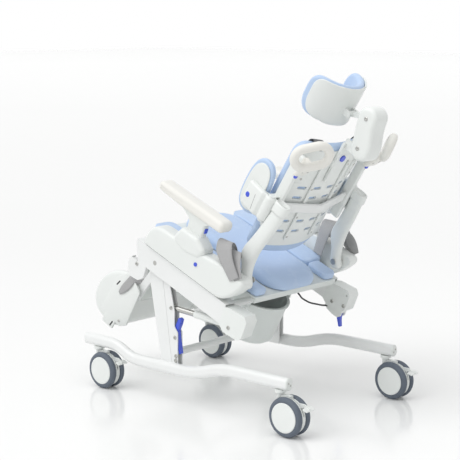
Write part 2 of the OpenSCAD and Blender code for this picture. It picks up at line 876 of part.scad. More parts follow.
trigger_pivot = [channel_len + 70, -60];
trigger_x = -channel_x;

module trigger_housing() {
    color(white) seat_frame() difference() {
        side_plate(trigger_x - 14, trigger_x + 14) polygon([
            [channel_len + 12, -42], [channel_len + 24, -50], [channel_len + 84, -44],
            [channel_len + 84, -62], [channel_len + 74, -72], [channel_len + 50, -72], [channel_len + 24, -66], [channel_len + 12, -58]
        ]);
        translate([trigger_x - 8, channel_len + 44, -90]) cube([16, 60, 40]);
        cross_pin(trigger_x - 20, trigger_x + 20, trigger_pivot, 5);
    }
    color(steel) seat_frame() cross_pin(trigger_x - 14, trigger_x + 14, trigger_pivot, 5);
}

module tilt_trigger() {
    color(button_blue) seat_frame() translate([trigger_x, trigger_pivot[0], trigger_pivot[1]]) difference() {
        side_plate(-6, 6) rounded(1.5) polygon([
            [-8, 5], [7, 6], [9, -4], [14, -20], [24, -40], [17, -42], [4, -24], [-8, -8]
        ]);
        cross_pin(-20, 20, [0, 0], 5 + 2 * run_fit);
    }
}

// A round cord swept along points with flat-sided rings
function unit(v) = v / norm(v);
function tangent(p, i) = unit(p[min(i + 1, len(p) - 1)] - p[max(i - 1, 0)]);
function ring(p, i, r, sides) = let (
    t = tangent(p, i),
    u = unit(cross(t, [0.31, 0.47, 0.83])),
    v = cross(t, u)
) [for (k = [0 : sides - 1]) p[i] + r * (u * cos(360 * k / sides) + v * sin(360 * k / sides))];

module cord(p, d, sides) {
    n = len(p);
    points = [for (i = [0 : n - 1]) each ring(p, i, d / 2, sides)];
    walls = [for (i = [0 : n - 2]) for (k = [0 : sides - 1]) [
        i * sides + k, i * sides + (k + 1) % sides, (i + 1) * sides + (k + 1) % sides, (i + 1) * sides + k
    ]];
    first = [for (k = [0 : sides - 1]) sides - 1 - k];
    last = [for (k = [0 : sides - 1]) (n - 1) * sides + k];
    polyhedron(points, concat([first], walls, [last]));
}

module trigger_cable() {
    color(black) seat_frame() cord(cable_route, cable_d, 8);
}

// ---------- footrest ----------

// A tube across the front with two arms that go down into the footrest
module foot_hanger() {
    half = channel_x - channel_w / 2 - 1;
    color(white) seat_frame() difference() {
        union() {
            cross_pin(-half, half, foot_pivot, hanger_d);
            both_sides() side_plate(hanger_x - hanger_w / 2, hanger_x + hanger_w / 2)
                bar(foot_pivot, hanger_end, hanger_d);
        }
        cross_pin(-half - 1, half + 1, foot_pivot, foot_pin_d + 2 * run_fit);
    }
}

// A flat bar with round ends between two points
module bar(a, b, w) {
    d = b - a;
    translate(a) circle(d = w);
    translate(b) circle(d = w);
    translate((a + b) / 2) rotate(atan2(d[1], d[0])) square([norm(d), w], center = true);
}

module foot_outline() {
    rounded(16) polygon([
        [-126, -206], [-150, -184], [-196, -166], [-260, -196], [-308, -250], [-322, -318],
        [-306, -372], [-250, -398], [-190, -402], [-146, -352], [-132, -290]
    ]);
}

// A block on the inside of each cheek that slides along an arm of the hanger
module foot_guide() {
    d = hanger_end - foot_pivot;
    inner = foot_half_w - foot_wall;
    translate([0, foot_pivot[0], foot_pivot[1]]) rotate([atan2(d[1], d[0]), 0, 0]) difference() {
        translate([hanger_x - hanger_w / 2 - 5, guide_at - guide_len / 2, -hanger_d / 2 - 5])
            cube([inner - hanger_x + hanger_w / 2 + 5, guide_len, hanger_d + 10]);
        translate([hanger_x - hanger_w / 2 - slide_fit, guide_at - guide_len, -hanger_d / 2 - slide_fit])
            cube([hanger_w + 2 * slide_fit, 2 * guide_len, hanger_d + 2 * slide_fit]);
    }
}

module foot_box() {
    outer = foot_half_w;
    color(white) seat_frame() {
        difference() {
            side_plate(-outer, outer) foot_outline();
            side_plate(-outer + foot_wall, outer - foot_wall) offset(delta = -foot_wall) foot_outline();
            // open at the top for the legs
            side_plate(-outer + foot_wall, outer - foot_wall) polygon([
                [-40, -286], [-170, -286], [-300, -246], [-330, -180], [-260, -100], [-60, -100]
            ]);
            // strap slots in the cheeks
            for (s = [[-232, -226], [-196, -372]]) translate([-outer - 10, s[0] - 2, s[1] - 9])
                cube([2 * outer + 20, 4, 18]);
        }
        both_sides() foot_guide();
    }
}

module ankle_straps() {
    outer = hanger_x - hanger_w / 2 - 5 - soft_gap;
    color(webbing) seat_frame() both_sides() side_plate(outer - 34, outer)
        strip([[-236, -214], [-206, -196], [-172, -188], [-140, -196], [-122, -214]], 3);
}

// ---------- back ----------

module back_arm() {
    x0 = hinge_x - hinge_boss_w / 2;
    low = 14;
    lean = atan2(hinge_x - 2 - arm_top_x, sleeve_top - low);
    difference() {
        union() {
            cross_pin(x0, x0 + hinge_boss_w, [0, 0], hinge_boss_d);
            // tube, from the hinge up and inward to the shell
            translate([hinge_x - 2, arm_tube_y, low]) rotate([0, -lean, 0])
                linear_extrude(height = sleeve_top - low) oval(arm_tube[0], arm_tube[1]);
            translate([x0, -44, -10]) cube([hinge_boss_w - 4, 40, 36]);
        }
        cross_pin(x0 - 1, x0 + hinge_boss_w + 1, [0, 0], hinge_pin_d + 2 * run_fit);
    }
    // upper side strip, welded to the tube, with a lip that carries the edge of the shell
    translate([strip_x + 2, -68, 150]) linear_extrude(height = strip_top - 150) round_rect(18, 34, 6);
    translate([strip_x - 2, -55, 205]) cube([20, 23, 57]);
    translate([lip_x, lip_y, 160]) cube([strip_x - lip_x, 9, 256]);
    // ears and pin of the side support
    for (z = [lateral_z[0] - 7, lateral_z[1] + 1]) {
        translate([lateral_pin[0], lateral_pin[1], z]) cylinder(d = 22, h = 6);
        translate([strip_x, lateral_pin[1] - 8, z]) cube([lateral_pin[0] - strip_x, 16, 6]);
    }
    translate([lateral_pin[0], lateral_pin[1], lateral_z[0] - 4])
        cylinder(d = lateral_pin_d, h = lateral_z[1] - lateral_z[0] + 8);
}

module back_arms() {
    color(white) back_frame() both_sides() back_arm();
}

// A sheet that follows the curve of the back, between two distances in front of the shell's rear face
module back_sheet(front, rear, half_w, z0, z1, r) {
    sweep = 2 * asin((half_w + 6) / (back_r - front));
    intersection() {
        translate([0, shell_y - back_r, z0 - 1]) rotate([0, 0, 90 - sweep / 2])
            rotate_extrude(angle = sweep, $fn = 96)
            translate([back_r - front, 0]) square([front - rear, z1 - z0 + 2]);
        translate([0, 60, (z0 + z1) / 2]) rotate([90, 0, 0]) linear_extrude(height = 300)
            round_rect(2 * half_w, z1 - z0, r);
    }
}

module back_shell() {
    color(white) back_frame() difference() {
        back_sheet(back_shell_t, 0, back_half_w, shell_bottom, back_top, 36);
        // rows of slots
        for (z = [130, 170, 262, 300]) for (x = [-96, -32, 32, 96])
            translate([x, 0, z]) rotate([90, 0, 0]) linear_extrude(height = 200) rotate(90) oval(11, 36);
        // small holes up the sides
        for (z = [110, 150, 320, 400]) for (x = [-138, 138])
            translate([x, 20, z]) rotate([90, 0, 0]) cylinder(d = 6, h = 200);
        // slot of the head support
        translate([0, 0, 392]) rotate([90, 0, 0]) linear_extrude(height = 200) round_rect(24, 60, 6);
    }
}

module back_cushion() {
    front = back_shell_t + soft_gap + back_pad_t;
    color(foam_blue) back_frame()
        back_sheet(front, back_shell_t + soft_gap, back_half_w, shell_bottom - 32, back_top + 4, 30);
}

// Crossbar behind the shell: two flat halves that meet in a shallow V
module crossbar() {
    z = 232;
    mid_y = shell_y + 24;
    end_y = -62;
    end_x = strip_x - 8;
    color(white) back_frame() both_sides() difference() {
        translate([0, mid_y, z]) rotate([0, 0, atan2(end_y - mid_y, end_x)]) translate([-3, -2.5, 0])
            rotate([90, 0, 90]) linear_extrude(height = end_x + 7.3) round_rect(11, bar_h, 5);
        translate([70, mid_y + 4, z]) rotate([0, 0, atan2(end_y - mid_y, end_x)])
            rotate([90, 0, 0]) linear_extrude(height = 10, center = true) rotate(90) oval(5, 90);
        translate([-100, -200, 0]) cube([100, 400, 500]);
    }
}

// Axes of a push handle loop in the back's frame: along the loop, and across it
loop_long = unit([-0.742, 0.450, 0.503]);
loop_short = unit([0.404, -0.300, 0.864]);
loop_centre = [196, -22, 457];
loop_len = 136;
loop_h = 94;

module push_handle() {
    n = cross(loop_long, loop_short);
    m = [
        [loop_long[0], loop_short[0], n[0], loop_centre[0]],
        [loop_long[1], loop_short[1], n[1], loop_centre[1]],
        [loop_long[2], loop_short[2], n[2], loop_centre[2]],
        [0, 0, 0, 1]
    ];
    bend_r = (loop_h - grip_d) / 2;
    run = loop_len - loop_h;
    multmatrix(m) {
        for (s = [-1, 1]) translate([s * run / 2, 0, 0]) rotate([0, 0, s > 0 ? -90 : 90])
            rotate_extrude(angle = 180, $fn = 64) translate([bend_r, 0]) circle(d = grip_d, $fn = 32);
        for (s = [-1, 1]) translate([-run / 2, s * bend_r, 0]) rotate([0, 90, 0])
            cylinder(d = grip_d, h = run, $fn = 32);
    }
    // foot of the handle: a plate behind the side strip and a stub into the lower bar of the loop
    translate([strip_x - 8, -50.8, 384]) cube([20, 7, 48]);
    translate([strip_x + 2, -46, 424]) rotate([-90, 0, 0]) cylinder(d = 20, h = 35);
}

module push_handles() {
    color(cream) back_frame() both_sides() push_handle();
}

module shoulder_straps() {
    route = [[-115.2, 392], [-115.2, 446], [-110, 447], [-63, 447], [-57.6, 442.5], [-57.6, 404]];
    color(webbing) back_frame() both_sides() translate([92, 0, 0])
        side_plate(0, 38) strip(route, 3);
}

// ---------- side supports ----------

module lateral(side) {
    z0 = lateral_z[0];
    z1 = lateral_z[1];
    plate_x = lateral_pad_x + soft_gap;
    color(white) back_frame() on_side(side) difference() {
        union() {
            translate([lateral_pin[0], lateral_pin[1], z0]) cylinder(d = lateral_barrel_d, h = z1 - z0);
            // clamp body, forward of the barrel
            translate([plate_x + 13, -122, (z0 + z1) / 2]) rotate([90, 0, 0])
                linear_extrude(height = 84, center = true) round_rect(18, z1 - z0 - 4, 8);
            // the pad's backing plate
            translate([plate_x, -150, 252]) side_plate(0, 5) oval(84, 172);
        }
        translate([lateral_pin[0], lateral_pin[1], z0 - 1])
            cylinder(d = lateral_pin_d + 2 * run_fit, h = z1 - z0 + 2);
        // seat of the button
        cross_pin(plate_x + 13, plate_x + 23, lateral_button_pos, lateral_button_d + 2 * slide_fit);
    }
}

module lateral_pad(side) {
    color(foam_blue) back_frame() on_side(side)
        translate([lateral_pad_x - lateral_pad_t, -152, 252]) side_plate(0, lateral_pad_t) oval(98, 192);
}

module lateral_button(side) {
    color(button_blue) back_frame() on_side(side)
        cross_pin(lateral_pad_x + soft_gap + 16.5, lateral_pad_x + soft_gap + 24, lateral_button_pos,
            lateral_button_d);
}

// ---------- head support ----------

module head_slider() {
    t = 8;
    y = shell_y + soft_gap;
    color(white) back_frame() difference() {
        union() {
            translate([-slider_w / 2, y, slider_z[0]]) cube([slider_w, t, slider_z[1] - slider_z[0]]);
            // clevis of the knee arm
            for (s = [-1, 1]) translate([s * 16 - 4, y, 462]) cube([8, 40, 30]);
            for (s = [-1, 1]) cross_pin(s * 16 - 4, s * 16 + 4, knee_low, 36);
        }
        cross_pin(-60, 60, knee_low, 10);
        translate([0, y - 1, 420]) rotate([-90, 0, 0]) cylinder(d = 22 + 2 * slide_fit, h = 20);
    }
    color(steel) back_frame() cross_pin(-knee_w / 2, knee_w / 2, knee_low, 10);
}

module head_button() {
    y = shell_y + soft_gap;
    color(button_blue) back_frame() translate([0, y + 3, 420]) rotate([-90, 0, 0]) cylinder(d = 22, h = 9);
}

module knee_outline() {
    dir = knee_high - knee_low;
    translate(knee_low + [8, 0]) circle(d = knee_low_d);
    translate(knee_high) circle(d = knee_high_d);
    polygon([knee_low + [-29, 0], knee_low + [45, 0], knee_high + [34, 8], knee_high + [-36, 0]]);
}

// The arm is a hollow cover with a bolt at each end
module knee_arm() {
    color(white) back_frame() difference() {
        side_plate(-knee_w / 2, knee_w / 2) knee_outline();
        // room for the clevis below and for the link above
        side_plate(-26, 26) offset(delta = -6) knee_outline();
        translate([-26, -80, 380]) cube([52, 90, 200]);
        translate([-26, -80, 380]) cube([52, 300, 104]);
        translate([-26, -80, 540]) cube([52, 90, 60]);
        cross_pin(-60, 60, knee_low, 10 + 2 * run_fit);
        cross_pin(-60, 60, knee_high, 10);
    }
    color(steel) back_frame() cross_pin(-knee_w / 2 - 3, knee_w / 2 + 3, knee_high, 10);
}

module head_link() {
    color(white) back_frame() difference() {
        union() {
            cross_pin(-13, 13, knee_high, 26);
            side_plate(-8, 8) bar(knee_high, head_pivot, 16);
            cross_pin(-13, 13, head_pivot, 18);
        }
        cross_pin(-60, 60, knee_high, 10 + 2 * run_fit);
        cross_pin(-60, 60, head_pivot, 6);
    }
}

// A sheet that follows the curve of the headrest
module head_sheet(inset, t, half_angle, h) {
    r = head_r - inset;
    intersection() {
        translate([0, head_centre_y, head_mid_z - h / 2 - 1]) rotate([0, 0, 90 - half_angle])
            rotate_extrude(angle = 2 * half_angle, $fn = 96) translate([r - t, 0]) square([t, h + 2]);
        translate([0, 100, head_mid_z]) rotate([90, 0, 0]) linear_extrude(height = 500)
            round_rect(2 * head_r - 4, h, h / 2 - 12);
    }
}

module headrest_shell() {
    color(white) back_frame() {
        difference() {
            head_sheet(0, 5, 76, head_h);
            for (a = [-40, 40]) for (z = [-1, 1]) translate([0, head_centre_y, head_mid_z + 26 * z + 6])
                rotate([0, 90, 90 + a]) cylinder(d = 6, h = 200);
        }
        // lugs of the pivot on the link
        for (s = [-1, 1]) difference() {
            translate([s * 18 - 4, head_centre_y + head_r - 6, head_pivot[1] - 10]) cube([8, 30, 20]);
            cross_pin(-30, 30, head_pivot, 6);
        }
    }
    color(steel) back_frame() cross_pin(-22, 22, head_pivot, 6 - 2 * run_fit);
}

module headrest_cushion() {
    color(foam_blue) back_frame() head_sheet(5 + soft_gap, head_pad_t, 78, head_h + 4);
}

// ---------- nodes ----------

side_rails();
rail_caps();
base_bolts();
upright_frame();
release_lever();
collection_pan();
caster_fork(-1, 1);  // caster_front_left
caster_fork(-1, -1);  // caster_front_right
caster_fork(1, 1);  // caster_rear_left
caster_fork(1, -1);  // caster_rear_right
twin_wheels(-1, 1);  // wheels_front_left
twin_wheels(-1, -1);  // wheels_front_right
twin_wheels(1, 1);  // wheels_rear_left
twin_wheels(1, -1);  // wheels_rear_right
brake_pedal(-1, 1);  // pedal_front_left
brake_pedal(-1, -1);  // pedal_front_right
brake_pedal(1, 1);  // pedal_rear_left
brake_pedal(1, -1);  // pedal_rear_right
strut_cylinder();
strut_rod();
frame_rails();
rear_brackets();
frame_bolts();
seat_shell();
seat_centre_cushion();
seat_side_cushions();
side_panels();
panel_button(1);  // panel_button_left
panel_button(-1);  // panel_button_right
arm_post(1);  // arm_post_left
arm_post(-1);  // arm_post_right
arm_pad(1);  // arm_pad_left
arm_pad(-1);  // arm_pad_right
arm_key(1);  // arm_key_left
arm_key(-1);  // arm_key_right
hip_belts();
tilt_trigger();
trigger_housing();
trigger_cable();
foot_hanger();
foot_box();
ankle_straps();
back_arms();
back_shell();
back_cushion();
crossbar();
push_handles();
shoulder_straps();
lateral(1);  // lateral_left
lateral(-1);  // lateral_right
lateral_pad(1);  // lateral_pad_left
lateral_pad(-1);  // lateral_pad_right
lateral_button(1);  // lateral_button_left
lateral_button(-1);  // lateral_button_right
head_slider();
head_button();
knee_arm();
head_link();
headrest_shell();
headrest_cushion();
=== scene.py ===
# %% [markdown]
# # A tilting hygiene chair, dressed for the studio
# The CAD model already holds the chair's construction: rails, casters, hinges and pads at their
# real size. This lesson keeps every CAD piece whose shape is right and only paints it, and it
# models the soft and moulded pieces again, because foam and moulded covers have rounded edges
# that plain CAD solids lack. The first step loads the frame.

# %% Load the frame
import json
import math
import bmesh
import bpy
from mathutils import Matrix, Vector


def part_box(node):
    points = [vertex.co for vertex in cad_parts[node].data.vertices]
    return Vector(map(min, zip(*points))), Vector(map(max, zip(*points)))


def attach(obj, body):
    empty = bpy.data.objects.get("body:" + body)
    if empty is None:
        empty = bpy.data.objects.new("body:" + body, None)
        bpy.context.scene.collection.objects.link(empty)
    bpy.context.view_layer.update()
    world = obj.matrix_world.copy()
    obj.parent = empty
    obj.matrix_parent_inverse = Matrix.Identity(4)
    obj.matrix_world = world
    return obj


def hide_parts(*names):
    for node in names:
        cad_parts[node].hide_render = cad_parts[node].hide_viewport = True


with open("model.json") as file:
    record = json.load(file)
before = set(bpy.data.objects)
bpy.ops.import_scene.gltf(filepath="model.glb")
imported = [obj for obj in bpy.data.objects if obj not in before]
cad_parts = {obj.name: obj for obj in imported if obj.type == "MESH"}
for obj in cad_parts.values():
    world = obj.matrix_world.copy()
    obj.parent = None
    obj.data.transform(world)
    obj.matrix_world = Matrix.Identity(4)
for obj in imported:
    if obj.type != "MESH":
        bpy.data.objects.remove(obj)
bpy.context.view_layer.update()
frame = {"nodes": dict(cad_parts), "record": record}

nodes = frame["nodes"]
joints = {j["name"]: j for j in frame["record"]["behaviour"]["joints"]}

# %% [markdown]
# ## Two working frames
# The seat leans back and the backrest leans back further, so a piece drawn in world axes would
# need sines everywhere. The joints tell us the leaning directions: the pan slides straight back
# along the seat, the armrest slides square to it, and the headrest slides up the backrest. Three
# directions and one point make a 4 by 4 matrix, and then every piece is drawn in plain
# millimetres: across, backward, upward.

# %% Frames of the seat and of the back
MM = 0.001
SIDES = (("left", 1), ("right", -1))
CORNERS = ("front_left", "front_right", "rear_left", "rear_right")


def frame_from(point, across, backward, upward):
    m = Matrix.Identity(4)
    for column, v in enumerate((across, backward, upward)):
        for row in range(3):
            m[row][column] = v[row] * MM
    m.translation = Vector(point)
    return m


def direction(name, sign=1.0):
    return Vector(joints[name]["axis"]).normalized() * sign


X_AXIS = Vector((1, 0, 0))
SEAT = frame_from(joints["seat_tilt"]["pos_m"], X_AXIS, direction("pan_pull"),
                  direction("armrest_height_left"))
BACK = frame_from(joints["back_recline"]["pos_m"], X_AXIS, direction("head_lock_press", -1),
                  direction("head_height"))
print("seat frame at", [round(v, 3) for v in SEAT.translation])
print("back frame at", [round(v, 3) for v in BACK.translation])

# %% [markdown]
# ## Shader maths that reads like algebra
# A material with variation is a chain of Math nodes. Wiring them one by one hides the idea, so a
# small class wraps a socket and lets Python's own operators add the nodes. Anything that isn't
# arithmetic goes through one method that takes a node's type, its settings and its inputs.

# %% A wrapped socket and a material builder
class Value:
    def __init__(self, paint, socket):
        self.paint = paint
        self.socket = socket

    def math(self, operation, other=0.0):
        return self.paint.node("ShaderNodeMath", {"operation": operation}, {0: self, 1: other})

    def __add__(self, other):
        return self.math("ADD", other)

    def __radd__(self, other):
        return self.math("ADD", other)

    def __mul__(self, other):
        return self.math("MULTIPLY", other)

    def __abs__(self):
        return self.math("ABSOLUTE")

    def above(self, edge):
        return self.math("GREATER_THAN", edge)

    def below(self, edge):
        return self.math("LESS_THAN", edge)


class Paint:
    def __init__(self, name):
        self.material = bpy.data.materials.new(name)
        self.material.use_nodes = True
        self.tree = self.material.node_tree
        self.shader = self.tree.nodes["Principled BSDF"]

    def node(self, kind, settings=None, inputs=None, output=0):
        n = self.tree.nodes.new(kind)
        for key, value in (settings or {}).items():
            setattr(n, key, value)
        for key, value in (inputs or {}).items():
            self.feed(n.inputs[key], value)
        return Value(self, n.outputs[output])

    def feed(self, socket, value):
        if isinstance(value, Value):
            self.tree.links.new(value.socket, socket)
        elif isinstance(value, tuple) and socket.type == "RGBA":
            socket.default_value = (*value, 1.0)
        else:
            socket.default_value = value

    def set(self, **sockets):
        for key, value in sockets.items():
            self.feed(self.shader.inputs[key.replace("_", " ")], value)

    def coordinates(self):
        return self.node("ShaderNodeTexCoord", output=3)

    def noise(self, scale, detail=3.0, rough=0.55):
        return self.node("ShaderNodeTexNoise", {}, {"Vector": self.coordinates(), "Scale": scale,
                                                    "Detail": detail, "Roughness": rough})

    def mix(self, factor, a, b):
        n = self.tree.nodes.new("ShaderNodeMix")
        n.data_type = "RGBA"
        self.feed(n.inputs[0], factor)
        self.feed(n.inputs[6], a)
        self.feed(n.inputs[7], b)
        return Value(self, n.outputs[2])

    def bump(self, height, strength, distance):
        normal = self.node("ShaderNodeBump", {}, {"Height": height, "Strength": strength,
                                                  "Distance": distance})
        self.feed(self.shader.inputs["Normal"], normal)


# %% [markdown]
# ## The finishes
# White powder coat on the metal, a slightly greener white on the moulded covers, a warmer white
# on the grips, pale blue closed-cell foam, royal blue for everything a carer presses, slate
# rubber, grey webbing and bare steel. None of them is one flat colour: powder coat has a faint
# orange peel, mouldings a fine spark texture, and foam a pebbled skin with small pale scuffs.

# %% Painted and moulded whites
def coat_white():
    p = Paint("powder_coat_white")
    cloud = p.noise(9.0, 2.0)
    p.set(Base_Color=p.mix(cloud, (0.80, 0.815, 0.81), (0.86, 0.87, 0.865)))
    p.set(Roughness=0.26 + cloud * 0.12, Coat_Weight=0.25, Coat_Roughness=0.12)
    p.bump(p.noise(900.0, 1.0), 0.10, 0.0003)
    return p.material


def moulded(name, low, high, rough, grain=1500.0, coat=0.0):
    p = Paint(name)
    cloud = p.noise(6.0, 3.0)
    p.set(Base_Color=p.mix(cloud, low, high))
    p.set(Roughness=rough + p.noise(40.0, 2.0) * 0.10, Coat_Weight=coat, Coat_Roughness=0.2)
    p.bump(p.noise(grain, 2.0), 0.16, 0.0002)
    return p.material


metal_white = coat_white()
COVER_LOW, COVER_HIGH = (0.77, 0.80, 0.78), (0.84, 0.86, 0.845)
cover_white = moulded("moulded_cover_white", COVER_LOW, COVER_HIGH, 0.30)
tray_white = moulded("moulded_tray_white", (0.71, 0.75, 0.73), (0.78, 0.815, 0.80), 0.36)
grip_cream = moulded("soft_grip_cream", (0.80, 0.79, 0.745), (0.86, 0.85, 0.81), 0.48, 2200.0)
button_blue = moulded("press_here_blue", (0.035, 0.075, 0.60), (0.055, 0.11, 0.74), 0.22, 900.0,
                      0.4)
print("whites and blues ready")


# %% [markdown]
# ## Foam
# The pads are one-piece foam with a closed skin. The skin has small cells, so a fine Voronoi
# pattern gives the bump, a broad noise shifts the blue a little, and a finer one leaves the
# surface slightly paler where it has been wiped and rubbed.

# %% Foam skin
def foam_skin():
    p = Paint("closed_skin_foam")
    cell = p.node("ShaderNodeTexVoronoi", {}, {"Vector": p.coordinates(), "Scale": 620.0})
    broad = p.noise(5.0, 3.0)
    rubbed = p.noise(38.0, 4.0).above(0.60) * 0.25
    blue = p.mix(broad, (0.44, 0.575, 0.80), (0.51, 0.64, 0.84))
    p.set(Base_Color=p.mix(rubbed, blue, (0.58, 0.69, 0.87)))
    p.set(Roughness=0.50 + p.noise(30.0, 2.0) * 0.16)
    p.shader.inputs["Sheen Weight"].default_value = 0.18
    p.shader.inputs["Sheen Roughness"].default_value = 0.5
    p.bump(cell, 0.22, 0.0004)
    return p.material


foam_blue = foam_skin()
print("foam finish made")


# %% [markdown]
# ## Rubber, webbing and steel
# The tyre is a grey-blue rubber with scuffs round the tread. Webbing is woven: two crossed
# waves, one along and one across the strap, give its ribs, and the threads are darker in the
# gaps. The strap's own length and width are stored as a UV map in millimetres, so the weave
# follows every bend.

# %% Rubber, webbing, steel and black
def tyre_rubber():
    p = Paint("slate_tyre_rubber")
    worn = p.noise(45.0, 5.0)
    p.set(Base_Color=p.mix(worn, (0.085, 0.105, 0.135), (0.135, 0.16, 0.20)))
    p.set(Roughness=0.52 + worn * 0.2)
    p.bump(p.noise(700.0, 2.0), 0.2, 0.0003)
    return p.material


def webbing(name, dark, light):
    p = Paint(name)
    uv = p.node("ShaderNodeUVMap", {"uv_map": "strap"})
    split = p.node("ShaderNodeSeparateXYZ", {}, {0: uv})
    along = p.node("ShaderNodeSeparateXYZ", {}, {0: uv}, output=1)
    ribs = (along * 2.4).math("SINE")
    threads = (split * 4.2).math("SINE")
    weave = (ribs * threads + 1.0) * 0.5
    p.set(Base_Color=p.mix(weave, dark, light), Roughness=0.72 + weave * 0.15)
    p.shader.inputs["Sheen Weight"].default_value = 0.25
    p.bump(weave, 0.55, 0.0006)
    return p.material


def brushed_steel():
    p = Paint("brushed_stainless")
    stretched = p.node("ShaderNodeMapping", {}, {"Vector": p.coordinates(),
                                                 "Scale": (40.0, 900.0, 900.0)})
    lines = p.node("ShaderNodeTexNoise", {}, {"Vector": stretched, "Scale": 1.0, "Detail": 2.0})
    p.set(Base_Color=p.mix(lines, (0.42, 0.42, 0.40), (0.60, 0.60, 0.58)), Metallic=1.0)
    p.set(Roughness=0.22 + lines * 0.18)
    return p.material


def black_sheath():
    p = Paint("black_cable_sheath")
    dust = p.noise(60.0, 3.0)
    p.set(Base_Color=p.mix(dust, (0.012, 0.012, 0.014), (0.03, 0.03, 0.034)))
    p.set(Roughness=0.38 + dust * 0.15)
    p.bump(p.noise(1200.0, 1.0), 0.1, 0.0002)
    return p.material


rubber = tyre_rubber()
belt_web = webbing("light_grey_webbing", (0.33, 0.33, 0.33), (0.50, 0.50, 0.505))
dark_web = webbing("dark_webbing", (0.085, 0.085, 0.09), (0.19, 0.19, 0.195))
steel = brushed_steel()
black = black_sheath()
print("materials", len(bpy.data.materials))

# %% [markdown]
# ## Paint the CAD pieces
# The construction stays exactly as the CAD has it. Each node's slots take the finish of the real
# piece.

# %% Finishes of the CAD nodes
finishes = {
    metal_white: ["side_rails", "upright_frame", "frame_rails", "foot_hanger", "crossbar"],
    cover_white: ["rail_caps", "trigger_housing", "back_shell", "head_slider", "head_link",
                  "headrest_shell", "strut_rod", "rear_brackets"],
    tray_white: ["seat_shell", "collection_pan"],
    grip_cream: ["push_handles"],
    button_blue: ["release_lever", "panel_button_left", "panel_button_right", "arm_key_left",
                  "arm_key_right", "tilt_trigger", "head_button", "lateral_button_left",
                  "lateral_button_right"],
    steel: ["base_bolts", "frame_bolts", "strut_cylinder"],
}
for corner in CORNERS:
    finishes[cover_white] += ["caster_" + corner, "pedal_" + corner]
for side, sign in SIDES:
    finishes[cover_white] += ["arm_post_" + side]


def paint_node(name, material):
    o = nodes[name]
    if not o.material_slots:
        o.data.materials.append(material)
    for s in o.material_slots:
        s.material = material


for material, names in finishes.items():
    for name in names:
        paint_node(name, material)
print("painted", sum(len(v) for v in finishes.values()), "CAD nodes")

# %% [markdown]
# ## Tools for rounded pieces
# Almost every moulded piece on this chair is an outline given a thickness, with its edges rolled
# over. One helper smooths a rough outline by cutting its corners, and another builds the solid
# from rings: each ring is the outline drawn a little smaller, and the rings near the edge follow
# a quarter circle. Rings carry on over both faces, so a face can be crowned or dished, and a
# bending function can wrap the whole slab round a curve afterwards.

# %% Outlines
def smooth_loop(points, rounds=3):
    """The outline with its corners cut at a quarter and three quarters of each side."""
    for _ in range(rounds):
        cut = []
        for i, p in enumerate(points):
            q = points[(i + 1) % len(points)]
            cut.append((p[0] * 0.75 + q[0] * 0.25, p[1] * 0.75 + q[1] * 0.25))
            cut.append((p[0] * 0.25 + q[0] * 0.75, p[1] * 0.25 + q[1] * 0.75))
        points = cut
    return points


def fillet_loop(points, radius, segments=8):
    """The same outline with an arc of the given radius, or of each point's own, at its corners."""
    loop = []
    n = len(points)
    for i, p in enumerate(points):
        here = Vector(p[:2])
        before, after = Vector(points[i - 1][:2]) - here, Vector(points[(i + 1) % n][:2]) - here
        r = p[2] if len(p) > 2 else radius
        half = before.angle(after) / 2
        reach = min(r / math.tan(half), 0.48 * before.length, 0.48 * after.length)
        start, end = here + before.normalized() * reach, here + after.normalized() * reach
        for k in range(segments + 1):
            t = k / segments
            q = start * (1 - t) ** 2 + here * 2 * t * (1 - t) + end * t * t
            loop.append((q.x, q.y))
    return loop


def even_loop(points, count):
    """The same outline as a number of points at equal distances."""
    closed = points + [points[0]]
    steps = [math.dist(a, b) for a, b in zip(closed, closed[1:])]
    total = sum(steps)
    loop, i, walked = [], 0, 0.0
    for k in range(count):
        target = total * k / count
        while walked + steps[i] < target:
            walked += steps[i]
            i += 1
        f = (target - walked) / steps[i]
        a, b = closed[i], closed[i + 1]
        loop.append((a[0] + (b[0] - a[0]) * f, a[1] + (b[1] - a[1]) * f))
    return loop


def round_rect(w, h, r, centre=(0.0, 0.0), segments=10):
    loop = []
    for cx, cy, start in ((1, 1, 0), (-1, 1, 90), (-1, -1, 180), (1, -1, 270)):
        for k in range(segments + 1):
            a = math.radians(start + 90 * k / segments)
            loop.append((centre[0] + cx * (w / 2 - r) + r * math.cos(a),
                         centre[1] + cy * (h / 2 - r) + r * math.sin(a)))
    return loop


def inset_loop(loop, amount):
    """The same loop moved inward by amount along its own normals."""
    area = sum(a[0] * b[1] - b[0] * a[1] for a, b in zip(loop, loop[1:] + loop[:1]))
    turn = 1.0 if area > 0 else -1.0
    out = []
    n = len(loop)
    for i in range(n):
        a, b = loop[i - 1], loop[(i + 1) % n]
        tx, ty = b[0] - a[0], b[1] - a[1]
        size = math.hypot(tx, ty) or 1.0
        out.append((loop[i][0] - ty / size * amount * turn, loop[i][1] + tx / size * amount * turn))
    return out


# %% Solids from rings
def as_given(a, b, c):
    return (a, b, c)


